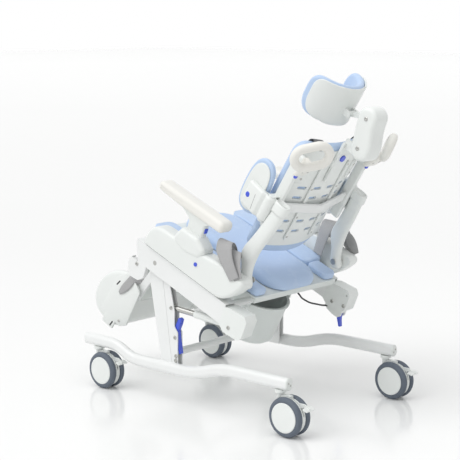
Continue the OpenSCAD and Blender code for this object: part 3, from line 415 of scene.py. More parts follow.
def slab_rings(loop, low, high, edge_low, edge_high, low_face=None, high_face=None, steps=5,
               face_rings=7):
    """Rings (a, b, c) from the middle of the low face, round the edge, to the other middle."""
    low_face = low_face or (lambda a, b: 0.0)
    high_face = high_face or (lambda a, b: 0.0)
    ca = sum(p[0] for p in loop) / len(loop)
    cb = sum(p[1] for p in loop) / len(loop)
    rings = []

    def face(level, edge, lift, inward):
        base = inset_loop(loop, edge)
        scales = [0.04 + 0.96 * k / face_rings for k in range(face_rings + 1)]
        made = []
        for s in scales:
            ring = [(ca + (p[0] - ca) * s, cb + (p[1] - cb) * s) for p in base]
            made.append([(a, b, level + lift(a, b)) for a, b in ring])
        return made if inward else made[::-1]

    rings += face(low, edge_low, low_face, True)
    for k in range(1, steps + 1):
        t = math.pi / 2 * k / steps
        ring = inset_loop(loop, edge_low * (1 - math.sin(t)))
        rings.append([(a, b, low + edge_low * (1 - math.cos(t)) + low_face(a, b) * math.cos(t))
                      for a, b in ring])
    for k in range(0, steps):
        t = math.pi / 2 * k / steps
        ring = inset_loop(loop, edge_high * (1 - math.cos(t)))
        rings.append([(a, b, high - edge_high * (1 - math.sin(t)) + high_face(a, b) * math.sin(t))
                      for a, b in ring])
    rings += face(high, edge_high, high_face, False)
    return rings


def join_rows(mesh, rows):
    """Quads between each closed row of points and the next."""
    n = len(rows[0])
    for a, b in zip(rows, rows[1:]):
        for i in range(n):
            mesh.faces.new((a[i], a[(i + 1) % n], b[(i + 1) % n], b[i]))


def build_piece(name, rings, matrix, body, material, order=as_given, replaces=()):
    """A mesh object from rings of points in millimetres, closed at both ends."""
    mesh = bmesh.new()
    rows = [[mesh.verts.new(matrix @ Vector(order(*p))) for p in ring] for ring in rings]
    join_rows(mesh, rows)
    mesh.faces.new(rows[0][::-1])
    mesh.faces.new(rows[-1])
    return finish_piece(name, mesh, body, material, replaces)


def finish_piece(name, mesh, body, material, replaces=()):
    """Turns a bmesh into a smooth object that rides on its body."""
    bmesh.ops.recalc_face_normals(mesh, faces=mesh.faces)
    data = bpy.data.meshes.new(name)
    mesh.to_mesh(data)
    mesh.free()
    data.materials.append(material)
    for polygon in data.polygons:
        polygon.use_smooth = True
    o = bpy.data.objects.new(name, data)
    bpy.context.scene.collection.objects.link(o)
    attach(o, body)
    if replaces:
        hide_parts(*replaces)
    return o


def slab(name, outline, span, edges, matrix, body, material, count=96, order=as_given, slot=None,
         replaces=(), **rings):
    """An outline made into a solid between the two levels of span, with the two edge radii."""
    made = slab_rings(even_loop(outline, count), *span, *edges, **rings)
    return build_piece(name, made, matrix, body, material, order=order, replaces=replaces)


def side_order(a, b, c):
    """An outline drawn in the side view, with its thickness across the chair."""
    return (c, a, b)


def mirrored(order):
    def other_side(a, b, c):
        x, y, z = order(a, b, c)
        return (-x, y, z)
    return other_side


def on_side(sign, order=side_order):
    return order if sign > 0 else mirrored(order)


def from_behind(sign):
    """An outline drawn in the view from behind, with its thickness along the chair."""
    return lambda a, b, c: (sign * a, c, b)


print("ring tools ready")

# %% [markdown]
# ## The middle seat cushion
# The real cushion is a deep block of foam whose front edge falls away for the calves and whose
# rear corners are round. It is crowned, dished a little where a person sits, and its sides roll
# under. The slab helper takes the outline from above and the two edge radii, and a function lifts
# the front and sinks the middle.

# %% Seat cushions
seat_inverse = SEAT.inverted()


def local_box(node, inverse):
    """The lowest and highest coordinates of a CAD node in a working frame."""
    corners = [inverse @ v.co for v in nodes[node].data.vertices]
    lows = [min(c[i] for c in corners) for i in range(3)]
    highs = [max(c[i] for c in corners) for i in range(3)]
    return Vector(lows), Vector(highs)


def seat_cushion():
    low, high = local_box("seat_centre_cushion", seat_inverse)
    half, y0, y1 = high[0], low[1], high[1]
    z0, z1 = low[2], high[2]

    def top(a, b):
        along = (b - y0) / (y1 - y0)
        dish = -5.0 * math.exp(-((a / 70.0) ** 2 + ((along - 0.62) / 0.24) ** 2))
        fall = max(0.0, 0.22 - along) ** 2 / 0.048 + max(0.0, along - 0.80) ** 2 / 0.04
        return dish - 9.0 * fall

    o = slab("seat_cushion_middle", round_rect(2 * half, y1 - y0, 74, (0, (y0 + y1) / 2)), (z0, z1),
             (10, 24), SEAT, "seat", foam_blue, 112, slot="blue_foam",
             replaces=["seat_centre_cushion"], high_face=top, steps=7, face_rings=9)
    return o


middle = seat_cushion()
print("middle cushion", len(middle.data.vertices), "points")

# %% [markdown]
# ## The side cushions
# Two bolsters lie on each side of the middle cushion: a long one in front and a short one behind,
# between the backrest's arms. They sit lower than the middle one at the front and slope up to the
# side panel, which keeps the thighs together.

# %% Side bolsters
def side_bolsters():
    vertices = [seat_inverse @ v.co for v in nodes["seat_side_cushions"].data.vertices]
    split = 271.0  # between the front and the rear bolsters
    made = []
    for name, sign in SIDES:
        for part in ("front", "rear"):
            mine = [v for v in vertices if v[0] * sign > 0 and (v[1] < split) == (part == "front")]
            x0, x1 = min(abs(v[0]) for v in mine), max(abs(v[0]) for v in mine)
            y0, y1 = min(v[1] for v in mine), max(v[1] for v in mine)
            z0, z1 = min(v[2] for v in mine), max(v[2] for v in mine)

            def top(a, b, x0=x0, x1=x1, y0=y0, y1=y1, part=part):
                lean = -6.0 * (x1 - a) / (x1 - x0)
                fall = -8.0 * max(0.0, 1 - (b - y0) / 90.0) ** 2 if part == "front" else 0.0
                return lean + fall

            outline = round_rect(x1 - x0, y1 - y0, 24 if part == "front" else 16,
                                 ((x0 + x1) / 2, (y0 + y1) / 2))
            o = slab(f"bolster_{part}_{name}", outline, (z0, z1), (6, 11), SEAT, "seat", foam_blue,
                     84, order=on_side(sign, as_given), slot="blue_foam", high_face=top)
            made.append(o)
    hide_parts("seat_side_cushions")
    return made


print("bolsters", len(side_bolsters()))

# %% [markdown]
# ## Curved pads
# The back pad and the headrest pad are flat slabs wrapped round an upright cylinder. It is easiest
# to model them flat, with distance along the curve as the first coordinate, and to bend them with
# a few lines of trigonometry. The back pad swells between its edges and hangs below the shell,
# where the bottom edge shows from behind. The headrest's thin moulded cup is made the same way.

# %% Back pad
SHELL_Y = -48.0
BACK_R = 365.0
SHELL_T = 6.0


def wrap(centre_y, radius):
    """Bends a flat drawing round an upright cylinder, with c as the depth inside its radius."""
    def order(a, b, c):
        angle = a / radius
        r = radius - c
        return (r * math.sin(angle), centre_y + r * math.cos(angle), b)
    return order


def back_pad():
    low, high = local_box("back_cushion", BACK.inverted())
    radius = BACK_R - SHELL_T
    half = math.asin(min(1.0, (high[0] + 3.0) / (radius - 16))) * radius
    z0, z1 = low[2], high[2]
    z1 += 12
    outline = [(-half, z0 + 4, 40), (-half, z1, 48), (half, z1, 48), (half, z0 + 4, 40),
               (0, z0 - 4, 400)]

    def front(a, b):
        across = 1 - (a / half) ** 2
        lengthwise = 1 - (2 * (b - z0) / (z1 - z0) - 1) ** 2
        return -6.0 + 6.0 * max(across, 0) ** 0.5 * max(lengthwise, 0) ** 0.4

    o = slab("back_pad", fillet_loop(outline, 30), (0.4, 34.0), (11, 15), BACK, "back", foam_blue,
             132, order=wrap(SHELL_Y - BACK_R, radius), replaces=["back_cushion"],
             slot="blue_foam", high_face=front, steps=7, face_rings=9)
    return o


print("back pad", len(back_pad().data.vertices), "points")

# %% Headrest pad
HEAD_R = 110.0
HEAD_Y = -212.0


def head_pad():
    low, high = local_box("headrest_cushion", BACK.inverted())
    radius = HEAD_R - 5.3
    half = math.radians(92) * radius
    outline = [(-half, low[2] + 3, 76), (-half, high[2], 50), (half, high[2], 50),
               (half, low[2] + 3, 76)]
    o = slab("headrest_pad", fillet_loop(outline, 60, 12), (0.3, 23.0), (10, 12), BACK, "headrest",
             foam_blue, 132, order=wrap(HEAD_Y, radius), replaces=["headrest_cushion"],
             slot="blue_foam", high_face=lambda a, b: 2.0 * abs(a / half) ** 3, steps=7,
             face_rings=9)
    return o


def head_shell():
    """The thin moulded cup behind the pad, over the CAD shell, whose two brackets still show."""
    low, high = local_box("headrest_shell", BACK.inverted())
    half = math.radians(79) * HEAD_R
    outline = [(-half, low[2] + 4, 66), (-half, high[2], 38), (half, high[2], 38),
               (half, low[2] + 4, 66)]
    return slab("headrest_cup", fillet_loop(outline, 60, 12), (-1.5, 4.8), (2.2, 2.2), BACK,
                "headrest", cover_white, 120, order=wrap(HEAD_Y, HEAD_R), slot="white_plastic",
                steps=4)


print("headrest pad", len(head_pad().data.vertices), "points")
print("headrest cup", len(head_shell().data.vertices), "points")

# %% [markdown]
# ## Side supports
# Each support is a foam oval on a thin white shell, held by a clamp that swings on the back's
# arm. The clamp is a comma in plan: a round barrel at the pin and a body that runs forward. A
# thin slit across it shows where its cover lifts off. It is drawn in the material: the distance
# along a direction is a dot product, and a band where that distance is small becomes a dark line.

# %% A white cover with a dark line in it
def distance_along(p, point, way):
    """How far each point of the surface lies beyond a given point, in metres along a direction."""
    offset = p.node("ShaderNodeVectorMath", {"operation": "SUBTRACT"},
                    {0: p.coordinates(), 1: tuple(point)})
    return p.node("ShaderNodeVectorMath", {"operation": "DOT_PRODUCT"}, {0: offset, 1: tuple(way)},
                  output=1)


def lined_cover(name, line, darkness):
    """The white of the covers with a darker, rougher mark where the function line says so."""
    p = Paint(name)
    mark = line(p)
    white = p.mix(p.noise(6.0, 3.0), COVER_LOW, COVER_HIGH)
    p.set(Base_Color=p.mix(mark, white, (darkness,) * 3), Roughness=0.32 + mark * 0.3)
    p.bump(p.noise(1500.0, 2.0), 0.16, 0.0002)
    return p.material


def clamp_slit(p):
    point = BACK @ Vector((0, -118, 220))
    across = distance_along(p, point, direction("head_lock_press", -1))
    up = distance_along(p, point, direction("head_height"))
    return abs(across + up * 0.12).below(0.0006) * abs(up).below(0.026)


clamp_paint = lined_cover("clamp_cover_white", clamp_slit, 0.10)
print("clamp finish made")


# %% Clamp, shell and pad of each side support
def circle_points(centre, r, start, stop, count=12):
    return [(centre[0] + r * math.cos(math.radians(start + (stop - start) * k / count)),
             centre[1] + r * math.sin(math.radians(start + (stop - start) * k / count)))
            for k in range(count + 1)]


def side_support(name, sign):
    body = "side_support_" + name
    clamp = circle_points((207, -74), 18.5, -50, 190) + [(200.5, -100), (200.5, -150)] \
        + circle_points((211, -156), 10.5, 180, 360, 8) + [(223.5, -140), (226, -100)]
    slab("clamp_" + name, clamp, (184, 270), (8, 8), BACK, body, clamp_paint,
         order=on_side(sign, as_given), replaces=["lateral_" + name], slot="white_plastic", steps=6)
    shell = smooth_loop([(-190, 196), (-190, 300), (-168, 336), (-132, 336), (-110, 300),
                         (-110, 196), (-132, 168), (-168, 168)])
    slab("support_shell_" + name, shell, (198.2, 203.2), (2.2, 2.4), BACK, body, cover_white,
         order=on_side(sign), slot="white_plastic", steps=4)
    foam = smooth_loop([(-201, 190), (-201, 304), (-176, 348), (-128, 348), (-103, 304),
                        (-103, 190), (-128, 156), (-176, 156)])
    pad = slab("support_pad_" + name, foam, (176.4, 197.9), (10, 8), BACK, body, foam_blue, 104,
               order=on_side(sign), replaces=["lateral_pad_" + name], slot="blue_foam", steps=6,
               low_face=lambda a, b: 2.0)


for name, sign in SIDES:
    side_support(name, sign)
print("side supports made")

# %% [markdown]
# ## Armrest pads
# A long soft block with a nearly round section. Its underside slopes up towards the front, and
# the front end is slimmer than the rear.

# %% Armrests
def arm_pad(name, sign):
    low, high = local_box("arm_pad_" + name, seat_inverse)
    y0, y1, z0, z1 = low[1], high[1], low[2], high[2]
    x0, x1 = sorted((abs(low[0]), abs(high[0])))
    outline = [(y0, z0 + 6, 15), (y0, z1, 16), (y1, z1, 18), (y1, z0, 18), (y0 + 110, z0, 60)]
    o = slab("armrest_pad_" + name, fillet_loop(outline, 16), (x0, x1), (13.5, 13.5), SEAT,
             "armrest_" + name, grip_cream, 128, order=on_side(sign), slot="cream_plastic",
             replaces=["arm_pad_" + name], steps=7, face_rings=4)


for name, sign in SIDES:
    arm_pad(name, sign)
print("arm pads made")

# %% [markdown]
# ## Side panels
# A side panel is one moulding: a long rounded cover over the frame rail, with a raised boss that
# grips the arm post. Two rounded slabs that pass into each other give that form. The outer edge
# has the larger radius, and the face between is very slightly crowned, so light rolls over it. A
# dark line near its lower edge is the seam between the two halves of the moulding.

# %% Panels
def panel_seam(p):
    up = distance_along(p, SEAT @ Vector((0, 0, 45)), direction("armrest_height_left"))
    return abs(up).below(0.0007)


panel_paint = lined_cover("panel_cover_white", panel_seam, 0.07)


def side_panel(name, sign):
    outline = [(-62, 38), (-20, 36.5), (60, 36.5), (180, 36.5), (284, 36.5), (328, 62), (364, 112),
               (368, 132), (354, 145), (324, 141), (250, 149), (170, 137), (60, 131), (-14, 131),
               (-46, 112), (-64, 74)]
    slab("side_panel_" + name, smooth_loop(outline, 2), (250.2, 301.5), (5, 13), SEAT, "seat",
         panel_paint, 176, order=on_side(sign), slot="white_plastic",
         high_face=lambda a, b: -1.5 * ((b - 86.0) / 50.0) ** 2, steps=7, face_rings=6)
    boss = fillet_loop([(44, 124, 30), (74, 178, 16), (148, 178, 24), (194, 150, 40),
                        (174, 118, 26), (110, 106, 60)], 20)
    return slab("post_boss_" + name, boss, (251.5, 306), (8, 14), SEAT, "seat", cover_white, 112,
                order=on_side(sign), slot="white_plastic", steps=7)


panel_parts = [side_panel(name, sign) for name, sign in SIDES]
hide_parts("side_panels")
print("panels made")

# %% [markdown]
# ## The backrest's arms
# Each arm is a broad oval tube that leaves the hinge, swings rearward and inward, and ends in a
# collar that holds the shell's side strip. A lofted piece suits it: ovals of changing size are
# placed along a curve, and the skin is stretched between them.

# %% Loft helper
def loft(name, stations, matrix, body, material, sign, count=40, power=2.4):
    """stations: (x, y, z, half width, half depth, lean in degrees), each section square to Z."""
    rings = []
    for x, y, z, w, d, lean in stations:
        ring = []
        for k in range(count):
            t = 2 * math.pi * k / count
            cx, cy = math.cos(t), math.sin(t)
            px = w * math.copysign(abs(cx) ** (2 / power), cx)
            py = d * math.copysign(abs(cy) ** (2 / power), cy)
            ring.append((sign * (x + px), y + py * math.cos(math.radians(lean)),
                         z + py * math.sin(math.radians(lean))))
        rings.append(ring)
    return build_piece(name, rings, matrix, body, material)


def spline(stations, each=5):
    """Catmull-Rom points through the stations."""
    out = []
    n = len(stations)
    for i in range(n - 1):
        p0, p1, p2, p3 = (stations[max(i - 1, 0)], stations[i], stations[i + 1],
                          stations[min(i + 2, n - 1)])
        for k in range(each):
            t = k / each
            out.append(tuple(0.5 * (2 * b + (c - a) * t + (2 * a - 5 * b + 4 * c - d) * t * t
                                    + (3 * b - a - 3 * c + d) * t ** 3)
                             for a, b, c, d in zip(p0, p1, p2, p3)))
    out.append(tuple(stations[-1]))
    return out


# %% Arms and their collars
def back_slab(name, outline, span, edges, count, **more):
    """A white slab that belongs to the backrest."""
    return slab(name, outline, span, edges, BACK, "back", cover_white, count, **more)


def back_arm(name, sign):
    path = [(229, 2, -24, 10, 12, 0), (229, 1, -16, 15, 20, 0), (229, -5, 2, 17, 26, -14),
            (229, -19, 24, 17.5, 29, -26), (227, -35, 54, 17, 30, -14), (223, -41, 88, 16, 29, 6),
            (216, -38, 128, 15.5, 28, 16), (208, -33, 176, 15, 26, 8), (201, -31, 222, 15, 25, 0),
            (196.5, -31, 256, 15, 25, 0)]
    arm = loft("back_arm_" + name, spline(path), BACK, "back", cover_white, sign)
    collar = [(200.5, -31, 236, 14, 24, 0), (200.3, -31, 237, 17, 27, 0),
              (199, -31, 243, 18, 28, 0), (197, -31, 262, 18, 28, 0),
              (196.4, -31, 268, 17.4, 27.4, 0),
              (196.2, -31, 271, 16, 26, 0), (196.2, -31, 272, 13.5, 23.5, 0),
              (196.2, -31, 268, 12.5, 22.5, 0)]
    loft("arm_collar_" + name, collar, BACK, "back", cover_white, sign,
         power=2.8)
    back_slab("side_strip_" + name, round_rect(16, 282, 7, (178, 291)), (-85, -51), (3, 3), 80,
              order=from_behind(sign), slot="white_metal", steps=4)
    ear = circle_points((207, -74), 11, -100, 100) + [(196, -66), (176, -62), (176, -84),
                                                      (196, -83)]
    for label, z in (("low", 182), ("high", 272)):
        back_slab(f"support_ear_{label}_{name}", ear, (z - 3, z + 3), (1.5, 1.5), 64,
                  order=on_side(sign, as_given), slot="white_metal", steps=3)
    return arm


arms = [back_arm(name, sign) for name, sign in SIDES]
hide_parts("back_arms")
print("back arms made")

# %% [markdown]
# ## The head support's knee
# The knee is a pill-shaped cover, two shells screwed together round the joint. A rounded slab
# with a large edge radius gives the soft form, and two screw heads show on each side.

# %% Screws
def screw(name, matrix, body, place, across, r=5.5, deep=2.6):
    """A pan head with a six-sided socket, its head towards the given side."""
    mesh = bmesh.new()
    profile = [(0.0, 0.6), (r * 0.42, 0.6), (r * 0.42, 2.0), (r * 0.5, 2.4), (r * 0.85, 1.8),
               (r, 0.5), (r, -deep)]
    count = 24
    rows = []
    for rad, out in profile:
        row = []
        for k in range(count):
            t = 2 * math.pi * k / count
            rr = rad
            if 0 < rad <= r * 0.43:
                rr = rad * (1.0 - 0.12 * math.cos(6 * t))
            row.append(mesh.verts.new(matrix @ Vector((place[0] + across * out,
                                                       place[1] + rr * math.cos(t),
                                                       place[2] + rr * math.sin(t)))))
        rows.append(row)
    join_rows(mesh, rows)
    bmesh.ops.remove_doubles(mesh, verts=mesh.verts, dist=1e-6)
    return finish_piece(name, mesh, body, steel)


def stud(name, matrix, body, place, axis, r, out, material, replaces=()):
    """A low round head of radius r that stands out along any axis."""
    w = Vector(axis).normalized()
    u = w.orthogonal().normalized()
    v = w.cross(u)
    rings = []
    for rad, high in ((0.1, out), (r * 0.6, out * 0.97), (r * 0.9, out * 0.7), (r, out * 0.2),
                      (r, -2.0), (0.1, -2.0)):
        rings.append([tuple(Vector(place) + w * high + (u * math.cos(t) + v * math.sin(t)) * rad)
                      for t in (2 * math.pi * k / 24 for k in range(24))])
    return build_piece(name, rings, matrix, body, material, replaces=replaces)


# %% Knee
def knee():
    low_pin, high_pin = (10, 497), (-12, 590)
    outline = circle_points(high_pin, 36, 20, 165, 16) + [(-45, 575), (-32, 530), (-22, 505)] \
        + circle_points((18, 497), 37, 190, 345, 16) + [(50, 520), (30, 560)]
    slab("knee_cover", smooth_loop(outline, 2), (-36, 36), (14, 14), BACK, "knee", cover_white, 120,
         order=side_order, replaces=["knee_arm"], slot="white_plastic", steps=8, face_rings=4)
    for label, pin in (("low", low_pin), ("high", high_pin)):
        for name, sign in SIDES:
            screw(f"knee_screw_{label}_{name}", BACK, "knee", (sign * 36, *pin), sign, r=7)


knee()
for name, sign in SIDES:
    stud("support_press_" + name, BACK, "side_button_" + name, (sign * 221.0, -148, 226),
         (sign, 0, 0), 9.5, 3.2, button_blue, ["lateral_button_" + name])
print("knee made")

# %% [markdown]
# ## What is screwed to the back
# The shell carries two tall ribs, two lugs, rows of screws, a catch by the head support and a blue
# one on each side strip. Everything here follows the curve of the shell, so it is drawn flat and
# wrapped like the pads. The push handles end in moulded feet, which lean back from the strip.

# %% Ribs, screws, latches and handle feet
shell_order = wrap(SHELL_Y - BACK_R, BACK_R)


def on_shell(a, b, c):
    return Vector(shell_order(a, b, c))


def handle_y(b):
    """The rearward lean of the handles' feet, as a function of height."""
    return -46 + (b - 372) * 0.5


def back_details():
    white = dict(order=shell_order, slot="white_plastic")
    for label, a in (("left", 62), ("right", -62)):
        rib = round_rect(13, 300, 6, (a, 248))
        back_slab("back_rib_" + label, rib, (-6.5, 1.0), (1.0, 2.5), 80, slot="white_plastic",
                  order=lambda x, b, c: shell_order(x, b, -5.0 - c if c > 0 else c), steps=3)
        lug = round_rect(44, 64, 9, (a * 2.0, 352))
        back_slab("back_lug_" + label, lug, (-6.0, 1.0), (2.5, 1.0), 64, steps=3, **white)
    places = [(sign * 62, b) for sign in (1, -1) for b in (112, 190, 300, 386)]
    places += [(sign * 124, b) for sign in (1, -1) for b in (336, 368)] + [(0, 210)]
    for number, (a, b) in enumerate(places, 1):
        middle = on_shell(a, b, -6.0 if a else 0.0)
        out = on_shell(a, b, -10.0) - on_shell(a, b, 0.0)
        stud(f"back_screw_{number}", BACK, "back", middle, out, 4.2, 1.6, steel)
    latch = round_rect(15, 24, 6, (26, 398))
    back_slab("back_latch", latch, (-9.0, 1.0), (3, 1), 40, steps=4, **white)
    for name, sign in SIDES:
        catch = round_rect(13, 20, 5, (181, 366))
        slab("strip_latch_" + name, catch, (-53, -45), (1, 3), BACK, "back", button_blue, 40,
             order=from_behind(sign), slot="blue_plastic", steps=4)
        foot = fillet_loop([(152, 368, 12), (206, 372, 14), (212, 432, 16), (158, 432, 16)], 12)
        slab("handle_foot_" + name, foot, (-8, 8), (5, 6), BACK, "back", grip_cream, 72,
             order=(lambda a, b, c: (sign * a, handle_y(b) + c, b)), slot="cream_plastic", steps=5)
        for k, (a, b) in enumerate(((168, 394), (196, 398))):
            stud(f"handle_screw_{k}_{name}", BACK, "back", (sign * a, handle_y(b) + 8, b),
                 (0, 1, -0.5), 4.0, 1.5, steel)


back_details()
print("back details made")

# %% [markdown]
# ## The footrest
# The footrest is a bucket with two rounded cheeks, open at the top for the legs. Its skin is made
# of rings across the chair, small at the two cheeks and full size between them. The faces over
# the opening are left out, and the skin then gets its real wall thickness from a Solidify
# modifier that is applied straight away. A flat plate with two strap slots covers each cheek;
# each slot is a thin black patch, painted shade for the dark opening.

# %% Foot bucket
def foot_bucket():
    outline = [(-126, -206), (-150, -184), (-196, -166), (-260, -196), (-308, -250), (-322, -318),
               (-300, -366), (-250, -386), (-190, -388), (-146, -352), (-132, -290)]
    loop = even_loop(smooth_loop(outline, 3), 132)
    half, edge = 175.5, 14.0
    mesh = bmesh.new()
    profile = [(-half, edge)] + [(-half + edge * (1 - math.cos(math.pi / 2 * k / 6)),
                                  edge * (1 - math.sin(math.pi / 2 * k / 6))) for k in range(1, 7)]
    profile += [(x, 0.0) for x in (-130, -70, 0, 70, 130)]
    profile += [(-x, i) for x, i in profile[:7][::-1]]
    rows = []
    for x, inset in profile:
        ring = inset_loop(loop, inset)
        rows.append([mesh.verts.new(Vector((x, *p))) for p in ring])
    n = len(loop)

    rim, front = -286, -300
    wall, wall_top = -152, -250

    def over_opening(i):
        y, z = loop[i]
        return z > rim and y > front and not (y > wall and z < wall_top)

    for r, (a, b) in enumerate(zip(rows, rows[1:])):
        middle = 5 < r < len(rows) - 7
        for i in range(n):
            if middle and over_opening(i):
                continue
            mesh.faces.new((a[i], a[(i + 1) % n], b[(i + 1) % n], b[i]))
    for row, turn in ((rows[0], -1), (rows[-1], 1)):
        inner = row
        ca = sum((v.co for v in row), Vector()) / n
        for s in (0.75, 0.5, 0.25, 0.06):
            ring = [mesh.verts.new(ca + (v.co - ca) * s) for v in row]
            for i in range(n):
                mesh.faces.new((inner[i], inner[(i + 1) % n], ring[(i + 1) % n], ring[i]))
            inner = ring
        mesh.faces.new(inner)
    for v in mesh.verts:
        v.co = SEAT @ v.co
    return finish_piece("foot_bucket", mesh, "footrest", cover_white, ["foot_box"])


bucket = foot_bucket()


def thicken(o, amount):
    """Gives an open skin a wall that grows inward."""
    wall = o.modifiers.new("wall", "SOLIDIFY")
    wall.thickness = amount
    wall.offset = -1
    depsgraph = bpy.context.evaluated_depsgraph_get()
    solid = bpy.data.meshes.new_from_object(o.evaluated_get(depsgraph))
    o.modifiers.clear()
    o.data = solid


thicken(bucket, 4.5 * MM)


def foot_cheek(name, sign):
    """The flat plate on each cheek, with its tab, a screw and two strap slots painted as black
    shade.
    """
    plate = [(-226, -200, 8), (-197, -172, 12), (-150, -180, 20), (-112, -202, 8), (-124, -300, 30),
             (-128, -345, 8), (-160, -367, 6), (-181, -361, 5), (-187, -394, 6), (-243, -391, 6),
             (-239, -365, 5), (-264, -356, 10), (-250, -300, 30)]
    slab("foot_cheek_" + name, fillet_loop(plate, 8), (174.5, 180.5), (1.5, 2.0), SEAT, "footrest",
         cover_white, 168, order=on_side(sign), slot="white_plastic", steps=3, face_rings=3)
    # Each strap slot is a thin black slab just proud of the plate: painted shade for the dark
    # opening.
    for k, (y, z, lean) in enumerate(((-217, -222, 0.5), (-196, -377, 0.35))):
        slot = [(y - 3 + b * lean, z + b) if a < 0 else (y + 3 + b * lean, z + b)
                for a, b in ((-1, -11), (1, -11), (1, 11), (-1, 11))]
        slab(f"painted_shade_slot_{k}_{name}", fillet_loop(slot, 2.5), (179.5, 180.8), (0.2, 0.2), SEAT,
             "footrest", black, 32, order=on_side(sign), slot="black_cable", steps=2, face_rings=2)
    stud("foot_screw_" + name, SEAT, "footrest", (sign * 180.4, -166, -348), (sign, 0, 0), 5.5,
         2.2, steel)


for name, sign in SIDES:
    foot_cheek(name, sign)
print("foot bucket", len(bucket.data.vertices), "points")

# %% [markdown]
# ## Wheels
# A twin caster has two narrow wheels with a hub face on each outer side. A wheel is turned on a
# lathe in real life, and here too: a profile is spun round the axle. The rubber and the hub are
# separate pieces, because their materials differ.

# %% Lathe helper
def lathe(name, profile, centre, body, material, count=72):
    """profile: (distance along X, radius) in millimetres."""
    mesh = bmesh.new()
    rows = []
    for along, r in profile:
        rows.append([mesh.verts.new(Vector(centre)
                                    + Vector((along, r * math.cos(t), r * math.sin(t))) * MM)
                     for t in (2 * math.pi * k / count for k in range(count))])
    join_rows(mesh, rows)
    bmesh.ops.remove_doubles(mesh, verts=mesh.verts, dist=1e-6)
    return finish_piece(name, mesh, body, material)


def twin_wheel(corner):
    low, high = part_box("wheels_" + corner)
    centre = (low + high) / 2
    r = (high[2] - low[2]) / 2 / MM
    inner, outer = 9.2, (high[0] - low[0]) / 2 / MM - 2.0
    first = None
    for label, sign in (("out", 1), ("in", -1)):
        tyre = [(inner, 40), (inner, r - 9), (inner + 1.5, r - 4.5), (inner + 4, r - 1.4),
                (inner + 8, r), (inner + 12, r - 0.3), (inner + 16, r - 2.2),
                (outer - 2.2, r - 5.5), (outer - 0.6, r - 9.5), (outer - 0.6, r - 13),
                (outer - 2.0, r - 15.2), (outer - 2.0, 40)]
        tyre += [tyre[0]]
        hub = [(outer - 3.4, 42), (outer - 3.4, r - 15.6), (outer - 0.8, r - 15.8),
               (outer + 0.2, r - 17), (outer + 0.3, r - 21), (outer + 0.1, 30), (outer + 0.9, 22),
               (outer + 1.4, 12), (outer + 1.6, 0.01)]
        back = [(inner - 0.1, 6.2), (inner + 0.4, 20), (inner + 0.4, 41)]
        for part, profile, material in (("tyre", tyre, rubber), ("hub", hub, cover_white),
                                        ("hub_back", back, cover_white)):
            o = lathe(f"{part}_{corner}_{label}", [(sign * a, b) for a, b in profile], centre,
                      "wheel_pair_" + corner, material)
            first = first or o
    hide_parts("wheels_" + corner)


for corner in CORNERS:
    twin_wheel(corner)
print("wheels made")

# %% [markdown]
# ## Straps
# A strap is a band under two millimetres thick that turns and folds as it goes. Each station on
# its path holds a point and half the width as a direction, so the band can lie flat on a pad,
# turn over an edge and hang down again. Remeshing or cloth would lose it, so it is built directly,
# with its edges drawn in a little and a UV map in millimetres for the weave.

# %% Band helper
def band(name, stations, matrix, body, material, sign, thick=1.8, across=6):
    """Stations are (x, y, z, and the half width as a direction); the ribbon may turn and fold."""
    points = spline(stations, 7)
    mesh = bmesh.new()
    uv = mesh.loops.layers.uv.new("strap")
    rows, walked = [], 0.0
    for i, p in enumerate(points):
        a, b = points[max(i - 1, 0)], points[min(i + 1, len(points) - 1)]
        along = (Vector(b[:3]) - Vector(a[:3])).normalized()
        wide = Vector(p[3:])
        face = along.cross(wide).normalized() * thick / 2
        if i:
            walked += (Vector(p[:3]) - Vector(points[i - 1][:3])).length
        row = []
        for side in (1, -1):
            for k in range(across + 1) if side > 0 else range(across, -1, -1):
                f = 2 * k / across - 1
                edge = 0.55 if k in (0, across) else 1.0
                q = Vector(p[:3]) + wide * f + face * side * edge
                vert = mesh.verts.new(matrix @ Vector((q[0] * sign, q[1], q[2])))
                row.append((vert, f * wide.length))
        rows.append((row, walked))
    for (a, low), (b, high) in zip(rows, rows[1:]):
        for i in range(len(a)):
            j = (i + 1) % len(a)
            quad = (a[i], a[j], b[j], b[i])
            made = mesh.faces.new([q[0] for q in quad])
            for loop, q, distance in zip(made.loops, quad, (low, low, high, high)):
                loop[uv].uv = (q[1], distance)
    for row in (rows[0][0], rows[-1][0]):
        mesh.faces.new([q[0] for q in row])
    return finish_piece(name, mesh, body, material, ())


# %% Belts and straps
hip_stations = [(224, 250, 100, 0, 19, 0), (227, 246, 140, 0, 20, 1), (236, 240, 182, 0, 24, 2),
                (254, 234, 208, 0, 27, 4), (276, 236, 214, -1, 28, 10), (294, 252, 200, -3, 25, 17),
                (302, 276, 180, -1, 20, 18), (304.5, 298, 164, 0, 17, 17),
                (304.8, 318, 150, 0, 15, 16), (304.2, 334, 137, 0, 14, 15)]
tail_stations = [(238, 272, 172, 0, 19, 1), (250, 272, 192, 0, 20, 2), (268, 280, 201, -1, 20, 7),
                 (286, 298, 190, -3, 17, 14), (296, 318, 170, -1, 15, 15),
                 (299, 334, 152, 0, 13, 14), (299.5, 344, 140, 0, 12, 13)]
ankle_stations = [(183, -198, -252, 0, -5, 4), (183.6, -186, -230, 0, -11, 7.5),
                  (183.6, -173, -206, 0, -13, 9), (183, -164, -186, 0, -13, 9.5),
                  (178, -160, -174, -2, -13, 9.5), (164, -153, -176, -1, -13.5, 9.5),
                  (144, -146, -183, 0, -13.5, 9.5), (122, -142, -190, 0, -13, 9)]
SHOULDER_A = 114.7
shoulder_turn = SHOULDER_A / BACK_R
shoulder_wide = (19 * math.cos(shoulder_turn), -19 * math.sin(shoulder_turn), 0)
shoulder_stations = [(*on_shell(SHOULDER_A, b, c), *shoulder_wide) for b, c in (
    (424, 38.2), (438, 37.8), (455, 34.5), (466, 24), (467, 15), (460, 6.5), (449, 4.2),
    (444, 3.4), (440.6, 3.0))]
straps = {"hip_belts": [], "ankle_straps": [], "shoulder_straps": []}
